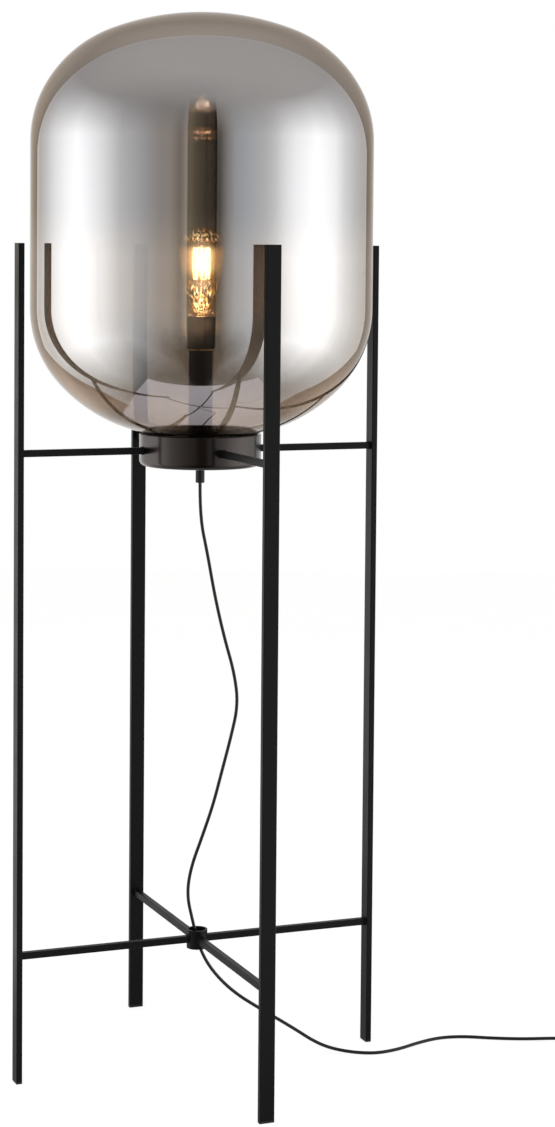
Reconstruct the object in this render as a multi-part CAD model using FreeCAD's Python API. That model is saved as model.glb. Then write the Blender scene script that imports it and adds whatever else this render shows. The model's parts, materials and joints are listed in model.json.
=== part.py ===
"""Floor lamp: a tall smoked glass on a black canister, carried by four flat legs.

Millimetres, +Z up. The origin is on the floor, on the lamp's own axis. The legs stand on
+X (right), -X (left), -Y (front) and +Y (back).
"""
import FreeCAD, Part
import math
import os

V = FreeCAD.Vector
os.makedirs("parts", exist_ok=True)

# ---------------------------------------------------------------- driving dimensions
# frame
leg_height = 1097.0        # floor to the closed top of a leg
leg_width = 20.0           # across the leg, seen from outside the lamp
leg_depth = 8.0            # along the radius
leg_wall = 1.5
tube_corner = 1.0          # outer corner radius of every tube
leg_gap = 19.5             # glass to the inner face of a leg
glide_height = 3.0         # nylon foot under the tube
cap_height = 1.5           # flange of the plug in the tube's top
plug_depth = 12.0          # how far glides and caps reach into the tube
bar_side = 9.0             # square section of arms and cross bars
bar_wall = 1.2
arm_height = 825.0         # centre line of the upper arms
cross_height = 167.0       # centre line of the lower cross bars
hub_radius = 13.9          # ring where the cross bars meet
hub_wall = 2.5
hub_height = 25.0

# canister
can_radius = 81.0
can_bottom = 803.5
can_top = 846.0
can_wall = 2.0
can_edge = 8.0             # rounding of the lower edge
rim_width = 8.0            # inward flange that carries the glass
rim_bevel = 0.6
gasket_width = 3.5         # from the rim's inner edge outwards
gasket_height = 0.8
plate_radius = 72.0
plate_thickness = 1.5
plate_top = 826.0
pillar_radius = 3.0
pillar_circle = 60.0
pillar_angles = (30, 150, 270)
plate_screw_radius = 1.4
screw_head_radius = 2.8
screw_head_height = 1.6
screw_slot_width = 0.7
screw_slot_depth = 0.8
plate_screw_reach = 8.0    # depth of the pillar's threaded hole
screw_end_gap = 0.5

# glass: tangent arcs, all on one wall thickness
glass_radius = 226.5
glass_wall = 3.5
glass_straight = 220.0     # cylindrical part
belly_radius = 149.3       # below the cylinder
belly_turn = 41.6          # degrees
bowl_radius = 207.8        # from the belly down to the canister
shoulder_radius = 148.0    # above the cylinder
shoulder_turn = 30.0
haunch_radius = 167.0
haunch_turn = 39.0
neck_radius = 54.0
neck_bend = 7.0
neck_bottom = 829.0

# lamp stem and holder
stem_radius = 16.0
stem_wall = 1.2
nipple_radius = 5.0
nipple_bore = 3.6
nipple_below_plate = 7.0
nipple_above_nut = 0.5
nut_flats = 14.0
nut_height = 3.0
trim_radius = 19.6
trim_thickness = 2.0
sleeve_radius = 19.2
sleeve_wall = 1.5
sleeve_height = 42.7
sleeve_bottom = 958.7
base_thickness = 3.0
ledge_height = 2.0
ledge_above_base = 5.0
ledge_radius = 14.5
insert_lip = 2.0           # sleeve stands this far above the insert
insert_floor = 5.3
socket_radius = 14.2
shell_wall = 0.4
shell_lip = 4.5
shell_below_insert = 1.0
contact_length = 12.0
contact_width = 6.0
contact_rise = 1.8

# bulb
cap_radius = 13.2
cap_thread_depth = 0.6
cap_pitch = 3.6
cap_turns = 5
cap_wall = 0.4
cap_collar = 2.5           # plain end above the thread
neck_above_cap = 1.5
glass_in_cap = 6.0
tip_radius = 4.7
tip_height = 1.5
insulator_height = 3.0
insulator_lip = 0.6
bulb_neck_radius = 12.0
bulb_radius = 31.1
bulb_wide_above_neck = 93.0
bulb_dome = 25.1
bulb_shoulder_turn = 50.0
bulb_wall = 0.8
flare_in_cap = 5.0
flare_height = 34.0
flare_rim = 1.2
flare_cone = 9.0
flare_stem_radius = 4.0
rod_radius = 1.2
rod_above_hooks = 4.0
filament_radius = 11.5
filament_runs = 10
filament_bottom = 1051.0
filament_length = 41.0
filament_wire = 0.35
filament_bend = 1.4
hook_wire = 0.3
lead_wire = 0.4
lead_share = 0.25          # leads leave the glass mount this share of the way out to the filament

# wiring
lead_radius = 0.9
lead_offset = 1.3          # each lead beside the axis inside the nipple
insert_hole_place = 8.0    # lead holes in the insert, from the axis
block_length = 26.0
block_width = 20.0
block_height = 14.0
block_place = 42.0         # from the axis to the block's middle
block_way = 6.0            # each way's middle, from the block's own middle
block_screw_offset = 5.0
block_screw_radius = 1.4
block_screw_clearance = 0.2
block_hole_depth = 6.0
block_screw_drop = 1.0
supply_entry = 4.0         # lead heights above the canister's floor
holder_entry = 9.0
lead_straight = 6.0
grip_radius = 6.0
grip_length = 23.0
grip_neck_radius = 5.0
grip_neck_above_floor = 4.5
grip_chamfer = 0.8
locknut_flats = 14.0
locknut_height = 3.5
cord_diameter = 4.5
cord_bore_gap = 0.3        # cord in the bore of the grip
inner_cord_above_grip = 1.0

# foot switch and plug
switch_length = 66.0
switch_width = 30.0
switch_base_height = 9.0
switch_height = 19.0
switch_wall = 1.6
switch_corner = 12.0
switch_crown = 3.0
switch_cover_wall = 2.6    # sides of the cover
switch_ceiling = 2.0
switch_screw_inset = 8.0   # from the switch's end
switch_screw_radius = 1.2
switch_screw_reach = 8.0   # above the base's floor
switch_head_radius = 2.4
switch_head_top = 1.2
switch_post_radius = 3.2
switch_hole_gap = 0.1
button_radius = 9.0
button_stand = 2.8
button_travel = 2.5
button_flange = 1.5        # thickness, and how far it stands out
button_round = 1.2
switch_cord_height = 5.0
relief_length = 20.0
relief_root = 4.2
relief_tip = 2.9
terminal_length = 16.0
terminal_width = 3.0
terminal_height = 4.0
terminal_place = 8.0
spring_radius = 5.0
spring_wire = 0.4
spring_turns = 4
spring_seat_height = 2.0
spring_spigot_height = 3.0
spring_spigot_gap = 0.6
plug_length = 37.0
plug_width = 35.0
plug_thickness = 14.8
plug_nose = 16.0           # straight part at the pin face
plug_tail_width = 10.0
plug_tail_thickness = 8.0
plug_roundness = 0.42      # corner radius as a share of the thickness
plug_boot_swell = 0.9
pin_sleeve_drop = 0.2      # sleeve below the pin's own surface
pin_core_gap = 0.02
pin_radius = 2.0
pin_length = 19.0
pin_sleeve_length = 10.0
pin_core_radius = 1.3
pin_spacing = 18.6
pin_round = 0.9

# clearances
rest_gap = 0.3             # between a lift-off part and its seat
slip_gap = 0.1             # between nested fixed parts

# cord coil
coil_turns_per_layer = 3
coil_pitch = 5.1           # from turn to turn and from layer to layer
coil_middle_radius = 26.0
cord_floor_gap = 0.05

# ---------------------------------------------------------------- derived places
leg_inner = glass_radius + leg_gap
leg_ring = leg_inner + leg_depth / 2
sides = {"right": 0.0, "back": 90.0, "left": 180.0, "front": 270.0}
cord_radius = cord_diameter / 2
floor_inside = can_bottom + can_wall
rim_inner = can_radius - rim_width
plate_bottom = plate_top - plate_thickness
sleeve_top = sleeve_bottom + sleeve_height
trim_bottom = sleeve_bottom - trim_thickness
base_top = sleeve_bottom + base_thickness
holder_nut_top = base_top + nut_height
ledge_bottom = base_top + ledge_above_base
insert_bottom = ledge_bottom + ledge_height
insert_top = sleeve_top - insert_lip
socket_floor = insert_bottom + insert_floor
tip_bottom = socket_floor + shell_wall + contact_rise + rest_gap
insulator_bottom = tip_bottom + tip_height
cap_bottom = insulator_bottom + insulator_height
cap_top = cap_bottom + cap_pitch * cap_turns + cap_collar
bulb_neck = cap_top + neck_above_cap
bulb_wide = bulb_neck + bulb_wide_above_neck
bulb_top = bulb_wide + bulb_dome
grip_bottom = can_bottom - grip_length
grip_top = floor_inside + grip_neck_above_floor
cord_axis = cord_radius + cord_floor_gap


# ---------------------------------------------------------------- helpers
def save(name, shape):
    """Write one node; shape is a solid or a list of separate solids."""
    if isinstance(shape, list):
        shape = Part.makeCompound(shape)
    if not shape.isValid():
        raise ValueError("invalid shape: " + name)
    shape.exportStep("parts/" + name + ".step")
    print(f"{name}: {len(shape.Solids)} solid(s), {shape.Volume:.0f} mm3")


def turned(shape, degrees):
    """A copy of the shape, turned about the lamp's axis."""
    copy = shape.copy()
    copy.rotate(V(0, 0, 0), V(0, 0, 1), degrees)
    return copy


def rod(radius, low, high, x=0.0, y=0.0):
    return Part.makeCylinder(radius, high - low, V(x, y, low))


def pipe(outer, inner, low, high, x=0.0, y=0.0):
    return rod(outer, low, high, x, y).cut(rod(inner, low - 1, high + 1, x, y))


def hexagon(flats, low, high, bore=0.0):
    corner = flats / math.sqrt(3)
    points = [V(corner * math.cos(math.radians(60 * i)), corner * math.sin(math.radians(60 * i)), low)
              for i in range(7)]
    nut = Part.Face(Part.makePolygon(points)).extrude(V(0, 0, high - low))
    return nut.cut(rod(bore, low - 1, high + 1)) if bore else nut


def upright_edges(solid):
    """Edges of a block that run along Z."""
    return [e for e in solid.Edges if abs(e.tangentAt(e.FirstParameter).z) > 0.99]


def rounded_block(length, width, low, high, corner):
    block = Part.makeBox(length, width, high - low, V(-length / 2, -width / 2, low))
    return block.makeFillet(corner, upright_edges(block))


def box_tube(length, width, low, high, wall, corner):
    """Rectangular tube along Z, centred on the axis."""
    outer = rounded_block(length, width, low, high, corner)
    inner = Part.makeBox(length - 2 * wall, width - 2 * wall, high - low + 2,
                         V(wall - length / 2, wall - width / 2, low - 1))
    return outer.cut(inner)


def spun(edges):
    """Solid of revolution about Z of a closed outline in the XZ plane."""
    face = Part.Face(Part.Wire(Part.__sortEdges__(edges)))
    solid = face.revolve(V(0, 0, 0), V(0, 0, 1), 360)
    return solid if solid.Volume > 0 else solid.reversed()


def line(a, b):
    return Part.LineSegment(V(a[0], 0, a[1]), V(b[0], 0, b[1])).toShape()


def outline(points):
    """Straight closed outline through (radius, z) points."""
    return [line(a, b) for a, b in zip(points, points[1:] + points[:1])]


def arc_about(centre, radius, start, end):
    """Arc in the XZ plane; angles in degrees from +X, upwards."""
    def at(angle):
        a = math.radians(angle)
        return V(centre[0] + radius * math.cos(a), 0, centre[1] + radius * math.sin(a))
    return Part.Arc(at(start), at((start + end) / 2), at(end)).toShape()


def polar(centre, radius, angle):
    a = math.radians(angle)
    return (centre[0] + radius * math.cos(a), centre[1] + radius * math.sin(a))


def fillet_route(points, radius=None):
    """Edges of straight runs joined by tangent arcs, and the least arc radius.

    Without a fixed radius, an arc is as large as its two runs allow.
    """
    share = 0.45
    edges = []
    least = float("inf")
    here = points[0]
    for before, corner, after in zip(points, points[1:], points[2:]):
        back = before - corner
        ahead = after - corner
        run = min(back.Length, ahead.Length)
        back.normalize()
        ahead.normalize()
        half_turn = (math.pi - back.getAngle(ahead)) / 2
        arc_radius = radius if radius else share * run / math.tan(half_turn)
        reach = arc_radius * math.tan(half_turn)
        start = corner + back * reach
        end = corner + ahead * reach
        inward = back + ahead
        inward.normalize()
        middle = corner + inward * (arc_radius / math.cos(half_turn) - arc_radius)
        edges.append(Part.LineSegment(here, start).toShape())
        edges.append(Part.Arc(start, middle, end).toShape())
        least = min(least, arc_radius)
        here = end
    edges.append(Part.LineSegment(here, points[-1]).toShape())
    return edges, least


def swept(edges, radius, start, heading):
    """Round tube of one radius along a smooth chain of edges."""
    ring = Part.Wire(Part.makeCircle(radius, start, heading))
    tube = Part.Wire(edges).makePipeShell([ring], True, False)
    return tube if tube.Volume > 0 else tube.reversed()


def wire_tube(points, radius, bend):
    """Thin lead through hand-set points with one bend radius."""
    edges, _ = fillet_route(points, bend)
    return swept(edges, radius, points[0], points[1] - points[0])


def cord_tube(name, points):
    """Free stretch of the cord; prints its radii, length and volume check."""
    edges, least = fillet_route(points)
    tube = swept(edges, cord_radius, points[0], points[1] - points[0])
    length = sum(e.Length for e in edges)
    section = math.pi * cord_radius ** 2
    print(f"{name}: length {length:.0f} mm, least radius {least:.1f} mm, "
          f"volume / (section x length) {tube.Volume / (section * length):.4f}")
    return tube


def biarc(start, start_way, end, end_way):
    """Two tangent arcs between two points with given unit headings."""
    gap = end - start
    both = start_way + end_way
    spread = 2 * (1 - start_way.dot(end_way))
    reach = gap.dot(both)
    arm = (-reach + math.sqrt(reach ** 2 + spread * gap.dot(gap))) / spread
    joint = (start + end) * 0.5 + (start_way - end_way) * (arm / 2)
    return [one_arc(start, start + start_way * arm, joint), one_arc(joint, end - end_way * arm, end)]


def one_arc(start, corner, end):
    """Arc from start to end whose end tangents meet at corner."""
    middle = (start + end) * 0.5
    half_chord = (end - start).Length / 2
    rise = (corner - middle).Length
    sag = half_chord * math.tan(math.atan2(rise, half_chord) / 2)
    out = corner - middle
    out.normalize()
    return Part.Arc(start, middle + out * sag, end).toShape()


def wound(place, way, steps):
    """Chain of biarcs through a winding given by its place and heading at each step."""
    edges = []
    for step in range(steps):
        edges += biarc(place(step), way(step), place(step + 1), way(step + 1))
    return edges


# ---------------------------------------------------------------- frame
def leg_tube():
    tube = box_tube(leg_depth, leg_width, glide_height, leg_height - cap_height, leg_wall, tube_corner)
    tube.translate(V(leg_ring, 0, 0))
    return tube


def tube_plug(low, high, flange_low, flange_high):
    """Plug that fills the tube's bore, with a flange of the tube's own section."""
    stem_x = leg_depth - 2 * leg_wall - 2 * slip_gap
    stem_y = leg_width - 2 * leg_wall - 2 * slip_gap
    core = Part.makeBox(stem_x, stem_y, high - low, V(-stem_x / 2, -stem_y / 2, low))
    flange = rounded_block(leg_depth, leg_width, flange_low, flange_high, tube_corner)
    plug = core.fuse(flange).removeSplitter()
    plug.translate(V(leg_ring, 0, 0))
    return plug


def square_bar(inner_radius, height):
    """Square tube along +X from a round wall to the leg's inner face."""
    length = leg_inner
    bar = box_tube(bar_side, bar_side, 0, length, bar_wall, tube_corner)
    bar.rotate(V(0, 0, 0), V(0, 1, 0), 90)
    bar.translate(V(0, 0, height))
    return bar.cut(rod(inner_radius, height - bar_side, height + bar_side))


def make_frame():
    for side, angle in sides.items():
        save("leg_" + side, turned(leg_tube(), angle))
        save("upper_arm_" + side, turned(square_bar(can_radius, arm_height), angle))
        save("cross_bar_" + side, turned(square_bar(hub_radius, cross_height), angle))
    glide = tube_plug(glide_height, glide_height + plug_depth, 0, glide_height)
    cap_low = leg_height - cap_height
    cap = tube_plug(cap_low - plug_depth, cap_low, cap_low, leg_height)
    save("foot_glides", [turned(glide, angle) for angle in sides.values()])
    save("leg_end_caps", [turned(cap, angle) for angle in sides.values()])
    save("hub_ring", pipe(hub_radius, hub_radius - hub_wall,
                          cross_height - hub_height / 2, cross_height + hub_height / 2))


# ---------------------------------------------------------------- canister
def canister_shell():
    inner = can_radius - can_wall
    hole = grip_neck_radius + slip_gap
    edge_centre = (can_radius - can_edge, can_bottom + can_edge)
    edges = [
        line((hole, can_bottom), (edge_centre[0], can_bottom)),
        arc_about(edge_centre, can_edge, -90, 0),
        line((can_radius, edge_centre[1]), (can_radius, can_top - rim_bevel)),
        line((can_radius, can_top - rim_bevel), (can_radius - rim_bevel, can_top)),
        line((can_radius - rim_bevel, can_top), (rim_inner, can_top)),
        line((rim_inner, can_top), (rim_inner, can_top - can_wall)),
        line((rim_inner, can_top - can_wall), (inner, can_top - can_wall)),
        line((inner, can_top - can_wall), (inner, edge_centre[1])),
        arc_about(edge_centre, can_edge - can_wall, 0, -90),
        line((edge_centre[0], floor_inside), (hole, floor_inside)),
        line((hole, floor_inside), (hole, can_bottom)),
    ]
    return spun(edges)


def make_canister():
    save("canister", canister_shell())
    save("glass_gasket", pipe(rim_inner + gasket_width, rim_inner, can_top, can_top + gasket_height))
    plate = pipe(plate_radius, nipple_radius + slip_gap, plate_bottom, plate_top)
    pillars = []
    screws = []
    for angle in pillar_angles:
        x = pillar_circle * math.cos(math.radians(angle))
        y = pillar_circle * math.sin(math.radians(angle))
        plate = plate.cut(rod(plate_screw_radius + slip_gap, plate_bottom - 1, plate_top + 1, x, y))
        thread_low = plate_bottom - plate_screw_reach
        pillars.append(rod(pillar_radius, floor_inside, plate_bottom, x, y).cut(
            rod(plate_screw_radius + slip_gap, thread_low, plate_bottom + 1, x, y)))
        head = rod(screw_head_radius, plate_top, plate_top + screw_head_height, x, y)
        slot = Part.makeBox(2 * screw_head_radius, screw_slot_width, screw_slot_depth,
                            V(x - screw_head_radius, y - screw_slot_width / 2,
                              plate_top + screw_head_height - screw_slot_depth))
        shank = rod(plate_screw_radius, thread_low + screw_end_gap, plate_top, x, y)
        screws.append(head.cut(slot).fuse(shank))
    save("cover_plate", plate)
    save("plate_pillars", pillars)
    save("plate_screws", screws)


# ---------------------------------------------------------------- glass
def glass_outline():
    """Outer and inner arcs share their centres, so the wall stays even.

    The bowl rests on the inner top edge of the gasket.
    """
    belly = (glass_radius - belly_radius, 0.0)
    turn = math.radians(belly_turn)
    bowl = (belly[0] + (belly_radius - bowl_radius) * math.cos(turn),
            (bowl_radius - belly_radius) * math.sin(turn))
    seat_drop = math.sqrt(bowl_radius ** 2 - (rim_inner - bowl[0]) ** 2)
    lift = can_top + gasket_height + rest_gap + seat_drop - bowl[1]
    belly = (belly[0], lift)
    bowl = (bowl[0], bowl[1] + lift)
    fold_x = neck_radius + neck_bend
    fold = (fold_x, bowl[1] - math.sqrt((bowl_radius + neck_bend) ** 2 - (fold_x - bowl[0]) ** 2))
    fold_angle = math.degrees(math.atan2(fold[1] - bowl[1], fold[0] - bowl[0]))
    shoulder = (glass_radius - shoulder_radius, belly[1] + glass_straight)
    haunch = polar(shoulder, shoulder_radius - haunch_radius, shoulder_turn)
    crown_turn = shoulder_turn + haunch_turn
    crown_start = polar(haunch, haunch_radius, crown_turn)
    crown_radius = crown_start[0] / math.cos(math.radians(crown_turn))
    crown = polar(crown_start, -crown_radius, crown_turn)

    def skin(inset):
        r = glass_radius - inset
        return [
            line((neck_radius - inset, neck_bottom), (neck_radius - inset, fold[1])),
            arc_about(fold, neck_bend + inset, 180, 180 + fold_angle),
            arc_about(bowl, bowl_radius - inset, fold_angle, -belly_turn),
            arc_about(belly, belly_radius - inset, -belly_turn, 0),
            line((r, belly[1]), (r, shoulder[1])),
            arc_about(shoulder, shoulder_radius - inset, 0, shoulder_turn),
            arc_about(haunch, haunch_radius - inset, shoulder_turn, crown_turn),
            arc_about(crown, crown_radius - inset, crown_turn, 90),
        ]

    top = crown[1] + crown_radius
    print(f"glass: top at {top:.1f} mm, crown radius {crown_radius:.1f} mm, belly at {belly[1]:.1f} mm")
    ends = [line((neck_radius - glass_wall, neck_bottom), (neck_radius, neck_bottom)),
            line((0, top - glass_wall), (0, top))]
    return skin(0) + skin(glass_wall) + ends


# ---------------------------------------------------------------- lampholder
def make_holder():
    bore = nipple_radius + slip_gap
    nipple_top = holder_nut_top + nipple_above_nut
    save("stem_tube", pipe(stem_radius, stem_radius - stem_wall, plate_top, trim_bottom))
    save("threaded_nipple", pipe(nipple_radius, nipple_bore, plate_bottom - nipple_below_plate, nipple_top))
    save("nipple_nuts", [hexagon(nut_flats, plate_bottom - nut_height, plate_bottom, bore),
                         hexagon(nut_flats, plate_top, plate_top + nut_height, bore),
                         hexagon(nut_flats, base_top, holder_nut_top, bore)])
    save("holder_trim_ring", pipe(trim_radius, bore, trim_bottom, sleeve_bottom))
    inside = sleeve_radius - sleeve_wall
    save("holder_base", pipe(inside - slip_gap, bore, sleeve_bottom, base_top))
    sleeve = pipe(sleeve_radius, inside, sleeve_bottom, sleeve_top)
    ledge = pipe(inside, ledge_radius, ledge_bottom, insert_bottom)
    save("holder_sleeve", sleeve.fuse(ledge).removeSplitter())
    insert = rod(inside - slip_gap, insert_bottom, insert_top)
    insert = insert.cut(rod(socket_radius, socket_floor, insert_top + 1))
    for x in (-insert_hole_place, insert_hole_place):
        insert = insert.cut(rod(lead_radius + rest_gap, insert_bottom - 1, socket_floor + 1, x))
    save("holder_insert", insert)
    shell_outer = socket_radius - slip_gap
    shell = pipe(shell_outer, shell_outer - shell_wall, socket_floor,
                 insert_top - shell_below_insert)
    lip = pipe(shell_outer, shell_outer - shell_lip, socket_floor, socket_floor + shell_wall)
    save("thread_shell", shell.fuse(lip).removeSplitter())
    tongue = Part.makeBox(contact_length, contact_width, shell_wall,
                          V(-contact_length / 2, -contact_width / 2, socket_floor))
    button_low = socket_floor + shell_wall
    tongue = tongue.fuse(rod(contact_width / 2, button_low, button_low + contact_rise))
    save("centre_contact", tongue.removeSplitter())


# ---------------------------------------------------------------- bulb
def screw_cap():
    """Thin shell whose wall rolls in and out once per thread turn."""
    crest = cap_radius
    root = cap_radius - cap_thread_depth
    points = [(root, cap_bottom)]
    for turn in range(cap_turns):
        points.append((crest, cap_bottom + (turn + 0.5) * cap_pitch))
        points.append((root, cap_bottom + (turn + 1) * cap_pitch))
    points.append((crest, cap_top))
    inner = [(r - cap_wall, z) for r, z in reversed(points)]
    return spun(outline(points + inner))


def envelope():
    """Teardrop: one long arc from the neck to the widest ring, then two arcs over the top."""
    swell = bulb_radius - bulb_neck_radius
    side = (swell ** 2 + bulb_wide_above_neck ** 2) / (2 * swell)
    centre = (bulb_radius - side, bulb_wide)
    foot = -math.degrees(math.asin(bulb_wide_above_neck / side))

    turn = math.radians(bulb_shoulder_turn)
    flat = (1 - math.sin(turn)) / math.cos(turn)
    shoulder_arc = (bulb_dome - bulb_radius * flat) / (math.sin(turn) - (1 - math.cos(turn)) * flat)
    shoulder = (bulb_radius - shoulder_arc, bulb_wide)
    crown_start = polar(shoulder, shoulder_arc, bulb_shoulder_turn)
    crown_arc = crown_start[0] / math.cos(turn)
    crown = (0, bulb_top - crown_arc)

    def skin(inset):
        return [
            arc_about(centre, side - inset, foot, 0),
            arc_about(shoulder, shoulder_arc - inset, 0, bulb_shoulder_turn),
            arc_about(crown, crown_arc - inset, bulb_shoulder_turn, 90),
        ]

    def neck_end(inset):
        return polar(centre, side - inset, foot)

    low = cap_top - glass_in_cap
    outer_end = neck_end(0)
    inner_end = neck_end(bulb_wall)
    outer_neck = (outer_end[0], low)
    inner_neck = (inner_end[0], low)
    return spun(skin(0) + skin(bulb_wall) + [
        line(outer_end, outer_neck),
        line(outer_neck, inner_neck),
        line(inner_neck, inner_end),
        line((0, bulb_top - bulb_wall), (0, bulb_top)),
    ])


def filament_points():
    low = filament_bottom
    high = filament_bottom + filament_length
    points = []
    for run in range(filament_runs):
        angle = 2 * math.pi * run / filament_runs
        x = filament_radius * math.cos(angle)
        y = filament_radius * math.sin(angle)
        ends = (low, high) if run % 2 == 0 else (high, low)
        points += [V(x, y, z) for z in ends]
    return points


def make_bulb():
    save("bulb_cap", screw_cap())
    tip = rod(tip_radius, tip_bottom, insulator_bottom)
    save("bulb_tip", tip)
    insulator = Part.makeCone(tip_radius + insulator_lip, cap_radius - cap_thread_depth - cap_wall,
                              insulator_height, V(0, 0, insulator_bottom))
    save("bulb_insulator", insulator)
    save("bulb_glass", envelope())
    flare_radius = bulb_neck_radius - bulb_wall - slip_gap
    flare_low = cap_top - flare_in_cap
    flare_top = flare_low + flare_height
    hooks_low = filament_bottom
    hooks_high = filament_bottom + filament_length
    mount = spun(outline([(0, flare_low), (flare_radius, flare_low), (flare_radius, flare_low + flare_rim),
                          (flare_stem_radius, flare_low + flare_cone), (flare_stem_radius, flare_top),
                          (rod_radius, flare_top), (rod_radius, hooks_high + rod_above_hooks),
                          (0, hooks_high + rod_above_hooks)]))
    save("bulb_mount", mount)
    save("filament", wire_tube(filament_points(), filament_wire, filament_bend))
    hooks = []
    reach = filament_radius - filament_bend
    for run in range(filament_runs):
        angle = 360 * (run + 0.5) / filament_runs
        height = hooks_high if run % 2 == 0 else hooks_low
        hook = Part.makeCylinder(hook_wire, reach - rod_radius, V(rod_radius, 0, height), V(1, 0, 0))
        hooks.append(turned(hook, angle))
    save("filament_hooks", hooks)
    first = filament_points()[0]
    last = filament_points()[-1]
    leads = []
    for end in (first, last):
        foot = V(end.x * lead_share, end.y * lead_share, flare_top + slip_gap)
        leads.append(wire_tube([foot, foot + V(0, 0, 5), end - V(0, 0, 6), end - V(0, 0, slip_gap)],
                               lead_wire, 1.5))
    save("filament_leads", leads)


# ---------------------------------------------------------------- wiring in the canister
def make_wiring():
    bore = cord_radius + cord_bore_gap
    grip = rod(grip_radius, grip_bottom, can_bottom)
    grip = grip.makeChamfer(grip_chamfer, [e for e in grip.Edges if e.BoundBox.ZMax < grip_bottom + 0.1])
    grip = grip.fuse(rod(grip_neck_radius, can_bottom, grip_top)).removeSplitter()
    save("cord_grip", grip.cut(rod(bore, grip_bottom - 1, grip_top + 1)))
    save("grip_locknut", hexagon(locknut_flats, floor_inside, floor_inside + locknut_height,
                                 grip_neck_radius + slip_gap))
    cord_end = grip_top + inner_cord_above_grip
    save("cord_in_grip", rod(cord_radius, grip_bottom, cord_end))
    face = block_place - block_width / 2
    low = floor_inside
    block = Part.makeBox(block_width, block_length, block_height, V(face, -block_length / 2, low))
    screws = []
    ways = (-block_way, block_way)
    for y in ways:
        for x in (block_place - block_screw_offset, block_place + block_screw_offset):
            hole_low = low + block_height - block_hole_depth
            block = block.cut(rod(block_screw_radius + block_screw_clearance, hole_low,
                                  low + block_height + 1, x, y))
            screws.append(rod(block_screw_radius, hole_low + screw_end_gap,
                              low + block_height - block_screw_drop, x, y))
    save("terminal_block", block)
    save("terminal_screws", screws)
    supply = []
    upward = []
    for y in ways:
        side = math.copysign(1.0, y)
        entry = low + supply_entry
        supply.append(wire_tube([V(0, side * 1.1, cord_end), V(0, side * 1.1, cord_end + 1.6),
                                 V(10, side * 5.0, cord_end + 0.5), V(face - lead_straight, y, entry),
                                 V(face, y, entry)], lead_radius, 1.2))
        wire_out = low + holder_entry
        under = plate_bottom - nipple_below_plate - 2.0
        over = holder_nut_top + nipple_above_nut + lead_radius + 0.4
        upward.append(wire_tube([V(face, y + 3 * side, wire_out), V(face - 8, y + 3 * side, wire_out),
                                 V(6, side * 5.5, under), V(0, side * lead_offset, under),
                                 V(0, side * lead_offset, over), V(side * insert_hole_place, 0, over + 0.2),
                                 V(side * insert_hole_place, 0, socket_floor - 1)], lead_radius, 0.9))
    save("supply_leads", supply)
    save("holder_leads", upward)


# ---------------------------------------------------------------- cord, foot switch and plug
# The cord's points, chosen by hand. It hangs in the plane that the viewer sees square on.
hang_way = (0.9314, -0.3639)
hang_points = [(0.0, grip_bottom), (0.0, 735), (10.5, 686), (20.5, 630), (33.5, 574), (47.5, 526),
               (53.0, 483), (43.0, 437), (31.5, 392), (20.5, 348), (5.5, 303), (-9.0, 262),
               (-14.0, 226), (-6.5, 192), (3.6, 152)]
fall_way = (0.978, -0.208)
fall_points = [(21.0, 121), (50.0, 91), (88.0, 66), (130.0, 40), (168.0, 14)]
floor_points = [(199.0, -41.0), (233.0, -64.0), (272.0, -59.0), (309.0, -43.0), (347.0, -33.0),
                (381.0, -40.0), (414.0, -60.0), (452.0, -78.0)]
switch_entry = (494.0, -98.0)          # where the cord leaves the picture
switch_heading = -28.8                 # degrees from +X
straight_in = 24.0                     # last run, square to the switch


def along(distance, aside=0.0, height=0.0):
    """Point beyond the picture: distance along the heading, aside to its right."""
    a = math.radians(switch_heading)
    return V(switch_entry[0] + distance * math.cos(a) + aside * math.sin(a),
             switch_entry[1] + distance * math.sin(a) - aside * math.cos(a), height)


switch_middle = straight_in + relief_length + switch_length / 2
switch_out = switch_middle + switch_length / 2 + relief_length
coil_outer = coil_middle_radius + coil_turns_per_layer * coil_pitch / 2
coil_inner = coil_middle_radius - coil_turns_per_layer * coil_pitch / 2
coil_along = switch_out + 34.0
link_run = 11.0
tail_length = 24.0


def cord_route():
    points = [V(s * hang_way[0], s * hang_way[1], z) for s, z in hang_points]
    points += [V(s * fall_way[0], s * fall_way[1], z) for s, z in fall_points]
    points += [V(x, y, cord_axis) for x, y in floor_points]
    points += [along(0, 0, switch_cord_height), along(straight_in, 0, switch_cord_height)]
    return points


def coil_place(step):
    """Centre line of the coil; four steps to a turn, layers joined in the inner half turn."""
    down_steps = 4 * coil_turns_per_layer
    climb_steps = 2
    angle = math.pi / 2 * step
    if step <= down_steps:
        radius = coil_outer - coil_pitch * step / 4
        rise = 0.0
    elif step <= down_steps + climb_steps:
        share = (step - down_steps) / climb_steps
        radius = coil_inner - coil_pitch * share * (1 - share) / 2
        rise = coil_pitch * (1 - math.cos(math.pi * share)) / 2
    else:
        radius = coil_inner + coil_pitch * (step - down_steps - climb_steps) / 4
        rise = coil_pitch
    return coil_along + radius * math.sin(angle), coil_outer - radius * math.cos(angle), cord_axis + rise


def coil_point(step):
    distance, aside, height = coil_place(step)
    return along(distance, aside, height)


def coil_way(step):
    small = 0.001
    last = 8 * coil_turns_per_layer + 2
    way = coil_point(min(step + small, last)) - coil_point(max(step - small, 0))
    way.normalize()
    return way


def coil_self_gap():
    """Least clear space between turns, on points along the centre line."""
    per_turn = 72
    count = int((2 * coil_turns_per_layer + 0.5) * per_turn)
    points = [coil_point(4 * i / per_turn) for i in range(count + 1)]
    least = float("inf")
    for i, a in enumerate(points):
        for b in points[i + per_turn // 2:]:
            least = min(least, (a - b).Length)
    return least - cord_diameter


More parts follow.
